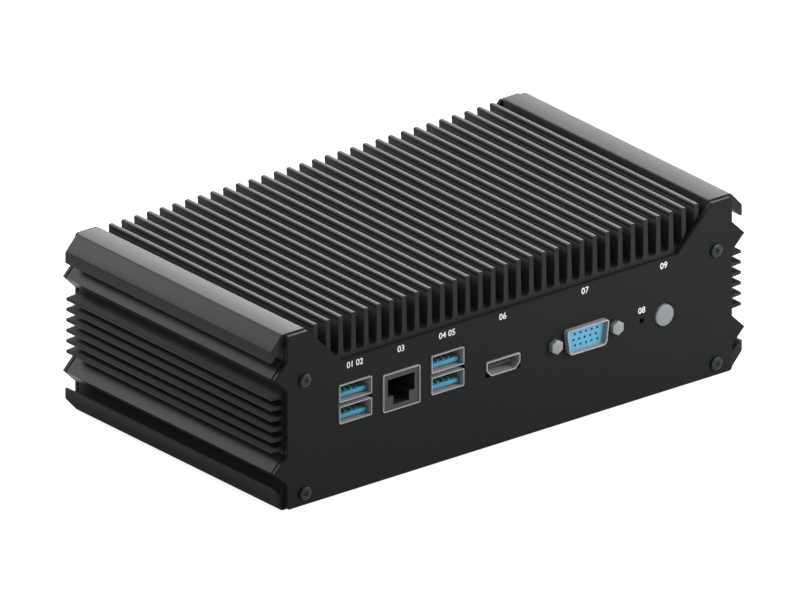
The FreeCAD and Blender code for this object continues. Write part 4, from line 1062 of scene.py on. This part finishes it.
class FanlessMonitorSocket(Operator):
    """Add the fifteen-way socket: a drawn rim with its flange, the drilled insulator and two jackscrews"""

    bl_idname = "fanless.monitor_socket"
    bl_label = "Fifteen-way socket"

    def execute(self, context):
        soften = context.scene.fanless_sockets.rim_edge / MM
        shell = span("dsub_shell")
        centre = (shell[0] + shell[1]) / 2
        self.add_shell(shell, centre, soften)
        self.add_insulator(shell, centre)
        self.add_jackscrews()
        return {"FINISHED"}

    def outline(self, centre, shrink):
        middle, half = centre.z, DSUB_HEIGHT / 2 - shrink
        upper, lower = DSUB_TOP / 2 - shrink, DSUB_BOTTOM / 2 - shrink
        return [
            (centre.x - lower, middle - half), (centre.x + lower, middle - half),
            (centre.x + upper, middle + half), (centre.x - upper, middle + half),
        ]

    def add_shell(self, shell, centre, soften):
        low, high = shell
        reach = DSUB_PROUD + PANEL_THICK
        outline, pocket = self.outline(centre, 0.0), reach + DSUB_POCKET
        bm = tube(outline, low.y, DSUB_WALL, pocket, reach, DSUB_ROUND, soften * 2)
        flange = sheet(rectangle((low.x, high.x), (low.z, high.z)), high.y, FLANGE_ROUND)
        drawn_along_y(flange, flange.edges[:], low.y + reach - high.y)
        absorb(bm, flange)
        filled(bm, low.y + reach)
        finish_piece(bm, "dsub_case", "housing", "plated_shell", ["dsub_shell"])

    def add_insulator(self, shell, centre):
        low, high = span("dsub_insulator")
        front = shell[0].y + DSUB_RECESS
        bm = sheet(self.outline(centre, DSUB_WALL + FACE_GAP), front, DSUB_ROUND - DSUB_WALL)
        drawn_along_y(bm, bm.edges[:], FACE_THICK)
        ends = [face for face in bm.faces if abs(face.normal.y) > 0.5]
        bmesh.ops.delete(bm, geom=ends, context="FACES_ONLY")
        upright = Matrix.Rotation(math.radians(90.0), 4, "X")
        for row in (1, 0, -1):
            aside = PIN_ROW_SHIFT / 2 * (1 if row else -1)
            level = centre.z + PIN_ROW_PITCH * row
            for column in range(-2, 3):
                place = Matrix.Translation((centre.x + PIN_PITCH * column + aside, front, level))
                made = bmesh.ops.create_circle(
                    bm, segments=14, radius=PIN_RADIUS, cap_ends=False, matrix=place @ upright,
                )["verts"]
                loop = list({edge for vert in made for edge in vert.link_edges})
                bmesh.ops.contextual_create(bm, geom=drawn_along_y(bm, loop, PIN_DEPTH))
        filled(bm, front)
        filled(bm, front + FACE_THICK)
        add_box(bm, (low.x, high.x), (shell[1].y, high.y), (low.z, high.z))
        finish_piece(bm, "dsub_face", "housing", "pale_blue_insert", ["dsub_insulator"])

    def add_jackscrews(self):
        low, high = span("dsub_jackscrews")
        face = span("front_panel")[0].y
        bm = bmesh.new()
        for x in (low.x + HEX_FLATS / 2, high.x - HEX_FLATS / 2):
            head = self.add_rod(bm, x, (low.z + high.z) / 2, (low.y, face), HEX_FLATS / math.sqrt(3), 6)
            rounded(bm, edges_at(bm, head, low.y), HEX_ROUND, 2)
            self.add_rod(bm, x, (low.z + high.z) / 2, (face, high.y), SHANK_RADIUS, 20)
        finish_piece(bm, "dsub_hex_screws", "housing", "nickel", ["dsub_jackscrews"])

    def add_rod(self, bm, x, z, y, radius, sides):
        """A rod along Y between two limits; returns its vertices."""
        turn = Matrix.Rotation(math.radians(90.0), 4, "X")
        place = Matrix.Translation((x, (y[0] + y[1]) / 2, z)) @ turn
        return bmesh.ops.create_cone(
            bm, cap_ends=True, segments=sides, radius1=radius, radius2=radius,
            depth=y[1] - y[0], matrix=place,
        )["verts"]


class FanlessPowerButton(Operator):
    """Add the power button: a flat cap with a rounded edge, its flange and stem"""

    bl_idname = "fanless.power_button"
    bl_label = "Power button"

    def execute(self, context):
        low, high = span("power_button")
        centre = (low + high) / 2
        face = span("front_panel")[0].y
        shoulder, back = (face + depth for depth in BUTTON_FLANGE_DEPTHS)
        profile = [
            (0.0, low.y), (BUTTON_RADIUS, low.y), (BUTTON_RADIUS, shoulder),
            (BUTTON_FLANGE, shoulder), (BUTTON_FLANGE, back), (0.0, back),
        ]
        bm = bmesh.new()
        verts = [bm.verts.new((centre.x + radius, y, centre.z)) for radius, y in profile]
        edges = [bm.edges.new(pair) for pair in zip(verts, verts[1:])]
        bmesh.ops.spin(
            bm, geom=verts + edges, cent=(centre.x, 0.0, centre.z), axis=(0.0, 1.0, 0.0),
            angle=math.tau, steps=72, use_merge=True,
        )
        bmesh.ops.remove_doubles(bm, verts=bm.verts[:], dist=SAME)
        rim = [
            edge for edge in edges_at(bm, bm.verts[:], low.y)
            if all((vert.co.xz - centre.xz).length > BUTTON_RADIUS - 0.05 for vert in edge.verts)
        ]
        rounded(bm, rim, BUTTON_ROUND, 4)
        add_box(bm, about(centre.x, BUTTON_STEM), (back, high.y), about(centre.z, BUTTON_STEM))
        finish_piece(bm, "power_button_cap", "button", "grey_button", ["power_button"])
        return {"FINISHED"}


# ---------------------------------------------------------------- print

PRINT_LEVEL = 44.5
RESET_PRINT_LEVEL = 31.3
PRINT_LIFT = 0.02
# Share of the type's size that a digit is high.
DIGIT_HEIGHT = 0.7
NUMERALS = (
    ("left_stacked_port_shell", "01 02", PRINT_LEVEL),
    ("console_jack_shell", "03", PRINT_LEVEL),
    ("right_stacked_port_shell", "04 05", PRINT_LEVEL),
    ("video_port_shell", "06", PRINT_LEVEL),
    ("dsub_shell", "07", PRINT_LEVEL),
    ("reset_plunger", "08", RESET_PRINT_LEVEL),
    ("power_button", "09", PRINT_LEVEL),
)


class FanlessNumerals(Operator):
    """Add the printed port numbers to the front panel"""

    bl_idname = "fanless.numerals"
    bl_label = "Port numbers"

    def execute(self, context):
        settings = context.scene.fanless_print
        face = span("front_panel")[0].y - PRINT_LIFT
        turn = Matrix.Rotation(math.radians(90.0), 4, "X")
        material = ink("print_ink", settings.ink)
        for node, word, level in NUMERALS:
            place = Matrix.Translation(Vector((middle(node).x, face, level)) * MM)
            mesh = self.numeral(word, settings)
            mesh.transform(place @ turn)
            mesh.materials.clear()
            mesh.materials.append(material)
            piece = bpy.data.objects.new(f"number_{word.replace(' ', '_')}", mesh)
            context.scene.collection.objects.link(piece)
            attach(piece, "housing")
        return {"FINISHED"}

    def numeral(self, word, settings):
        """Flat digits centred on the origin, as a mesh."""
        curve = bpy.data.curves.new("digits", "FONT")
        curve.body = word
        curve.align_x = "CENTER"
        curve.align_y = "CENTER"
        curve.size = settings.height / DIGIT_HEIGHT
        curve.offset = settings.weight
        curve.resolution_u = 6
        flat = bpy.data.objects.new("digits", curve)
        bpy.context.scene.collection.objects.link(flat)
        mesh = bpy.data.meshes.new_from_object(flat)
        bpy.data.objects.remove(flat)
        bpy.data.curves.remove(curve)
        return mesh


# ---------------------------------------------------------------- finishes


class FanlessFinishes(Operator):
    """Make every finish and give it to the carried-over pieces"""

    bl_idname = "fanless.finishes"
    bl_label = "Finishes"

    def execute(self, context):
        finishes = make_finishes(context.scene)
        slots = {part["node"]: part["material_slot"] for part in frame["record"]["subparts"]}
        for node, piece in frame["nodes"].items():
            if not piece.data.materials:
                piece.data.materials.append(None)
            for slot in piece.material_slots:
                slot.material = finishes[slots[node]]
        return {"FINISHED"}


# ---------------------------------------------------------------- stage

VIEW_RIGHT = Vector((0.78083, -0.62474, 0.0))
VIEW_UP = Vector((0.24658, 0.30819, 0.91882))
VIEW_BACK = VIEW_RIGHT.cross(VIEW_UP)
VIEW_WIDTH = 0.25675
# What the camera looks at, to the left of and above the middle of the front panel's foot.
AIM_LEFT = 0.03532
AIM_UP = 0.04503
PANEL_FOOT = 0.0005
CAMERA_DISTANCE = 1.0
FLOOR_HALF = 6.0
LIGHTS = (
    ("light_top", (-0.10, 0.15, 1.3), 1.2, 6.5),
    ("light_front", (0.28, -0.36, 0.20), 0.3, 1.9),
    ("light_back", (0.90, 1.15, 0.68), 2.0, 68.0),
    ("light_back_left", (-0.30, 0.46, 0.34), 0.22, 2.6),
)


class FanlessStudio(Operator):
    """Add the pale floor, the soft lights and the camera"""

    bl_idname = "fanless.stage"
    bl_label = "Studio"

    def execute(self, context):
        settings = context.scene.fanless_stage
        self.add_floor(context.scene, settings)
        self.add_sky(context.scene, settings)
        for name, place, size, power in LIGHTS:
            self.add_light(name, place, size, power)
        self.add_camera(context.scene)
        context.scene.view_settings.view_transform = "Standard"
        return {"FINISHED"}

    def add_floor(self, scene, settings):
        bm = bmesh.new()
        bmesh.ops.create_grid(bm, x_segments=2, y_segments=2, size=FLOOR_HALF)
        mesh = bpy.data.meshes.new("floor")
        bm.to_mesh(mesh)
        bm.free()
        shader = Shader("floor_paint")
        path = shader.node("ShaderNodeLightPath")
        rays = ("Is Camera Ray", "Is Glossy Ray", "Is Transmission Ray")
        camera, glossy, through = (Wire(shader, path.outputs[ray]) for ray in rays)
        seen = (camera + glossy + through).clamped()
        shader.set(
            Base_Color=(settings.floor,) * 3,
            Roughness=1.0,
            Specular_IOR_Level=0.0,
            Emission_Color=shader.blend(seen, (0.0, 0.0, 0.0), (settings.backdrop,) * 3),
            Emission_Strength=1.0,
        )
        mesh.materials.append(shader.material)
        floor = bpy.data.objects.new("floor", mesh)
        scene.collection.objects.link(floor)

    def add_sky(self, scene, settings):
        world = bpy.data.worlds.new("studio_sky")
        world.use_nodes = True
        sky = world.node_tree.nodes["Background"]
        sky.inputs["Color"].default_value = (1.0, 1.0, 1.0, 1.0)
        sky.inputs["Strength"].default_value = settings.sky
        scene.world = world

    def add_light(self, name, place, size, power):
        lamp = bpy.data.lights.new(name, "AREA")
        lamp.shape = "DISK"
        lamp.size = size
        lamp.energy = power
        lamp_object = bpy.data.objects.new(name, lamp)
        scene = bpy.context.scene
        scene.collection.objects.link(lamp_object)
        lamp_object.location = place
        lamp_object.rotation_euler = Vector(place).to_track_quat("Z", "Y").to_euler()

    def add_camera(self, scene):
        lens = bpy.data.cameras.new("camera")
        lens.type = "ORTHO"
        lens.ortho_scale = VIEW_WIDTH
        lens.clip_end = 10.0
        camera = bpy.data.objects.new("camera", lens)
        scene.collection.objects.link(camera)
        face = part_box("front_panel")[0].y
        aim = Vector((0.0, face, PANEL_FOOT)) - VIEW_RIGHT * AIM_LEFT + VIEW_UP * AIM_UP
        turn = Matrix((VIEW_RIGHT, VIEW_UP, VIEW_BACK)).transposed().to_4x4()
        camera.matrix_world = Matrix.Translation(aim + VIEW_BACK * CAMERA_DISTANCE) @ turn
        scene.camera = camera


# ---------------------------------------------------------------- add-on

SETTINGS = (
    (FanlessHousing, "fanless_housing"),
    (FanlessSockets, "fanless_sockets"),
    (FanlessPrint, "fanless_print"),
    (FanlessStage, "fanless_stage"),
)
OPERATORS = (
    FanlessFinishes, FanlessChassis, FanlessPanelScrews, FanlessCoverScrews, FanlessStackedPorts,
    FanlessJacks, FanlessVideoPort, FanlessMonitorSocket, FanlessPowerButton, FanlessNumerals,
    FanlessStudio,
)


class FanlessPanel(Panel):
    """Lists the pieces and their settings"""

    bl_idname = "VIEW3D_PT_fanless"
    bl_label = "Fanless computer"
    bl_space_type = "VIEW_3D"
    bl_region_type = "UI"
    bl_category = "Fanless"

    def draw(self, context):
        for operator in OPERATORS:
            self.layout.operator(operator.bl_idname)
        for group, name in SETTINGS:
            box = self.layout.box()
            settings = getattr(context.scene, name)
            for key in group.__annotations__:
                box.prop(settings, key)


def register():
    for group, name in SETTINGS:
        bpy.utils.register_class(group)
        setattr(bpy.types.Scene, name, PointerProperty(type=group))
    for operator in OPERATORS:
        bpy.utils.register_class(operator)
    bpy.utils.register_class(FanlessPanel)


def unregister():
    bpy.utils.unregister_class(FanlessPanel)
    for operator in reversed(OPERATORS):
        bpy.utils.unregister_class(operator)
    for group, name in reversed(SETTINGS):
        delattr(bpy.types.Scene, name)
        bpy.utils.unregister_class(group)


def main():
    register()
    for operator in OPERATORS:
        category, name = operator.bl_idname.split(".")
        getattr(getattr(bpy.ops, category), name)()


if __name__ == "__main__":
    main()
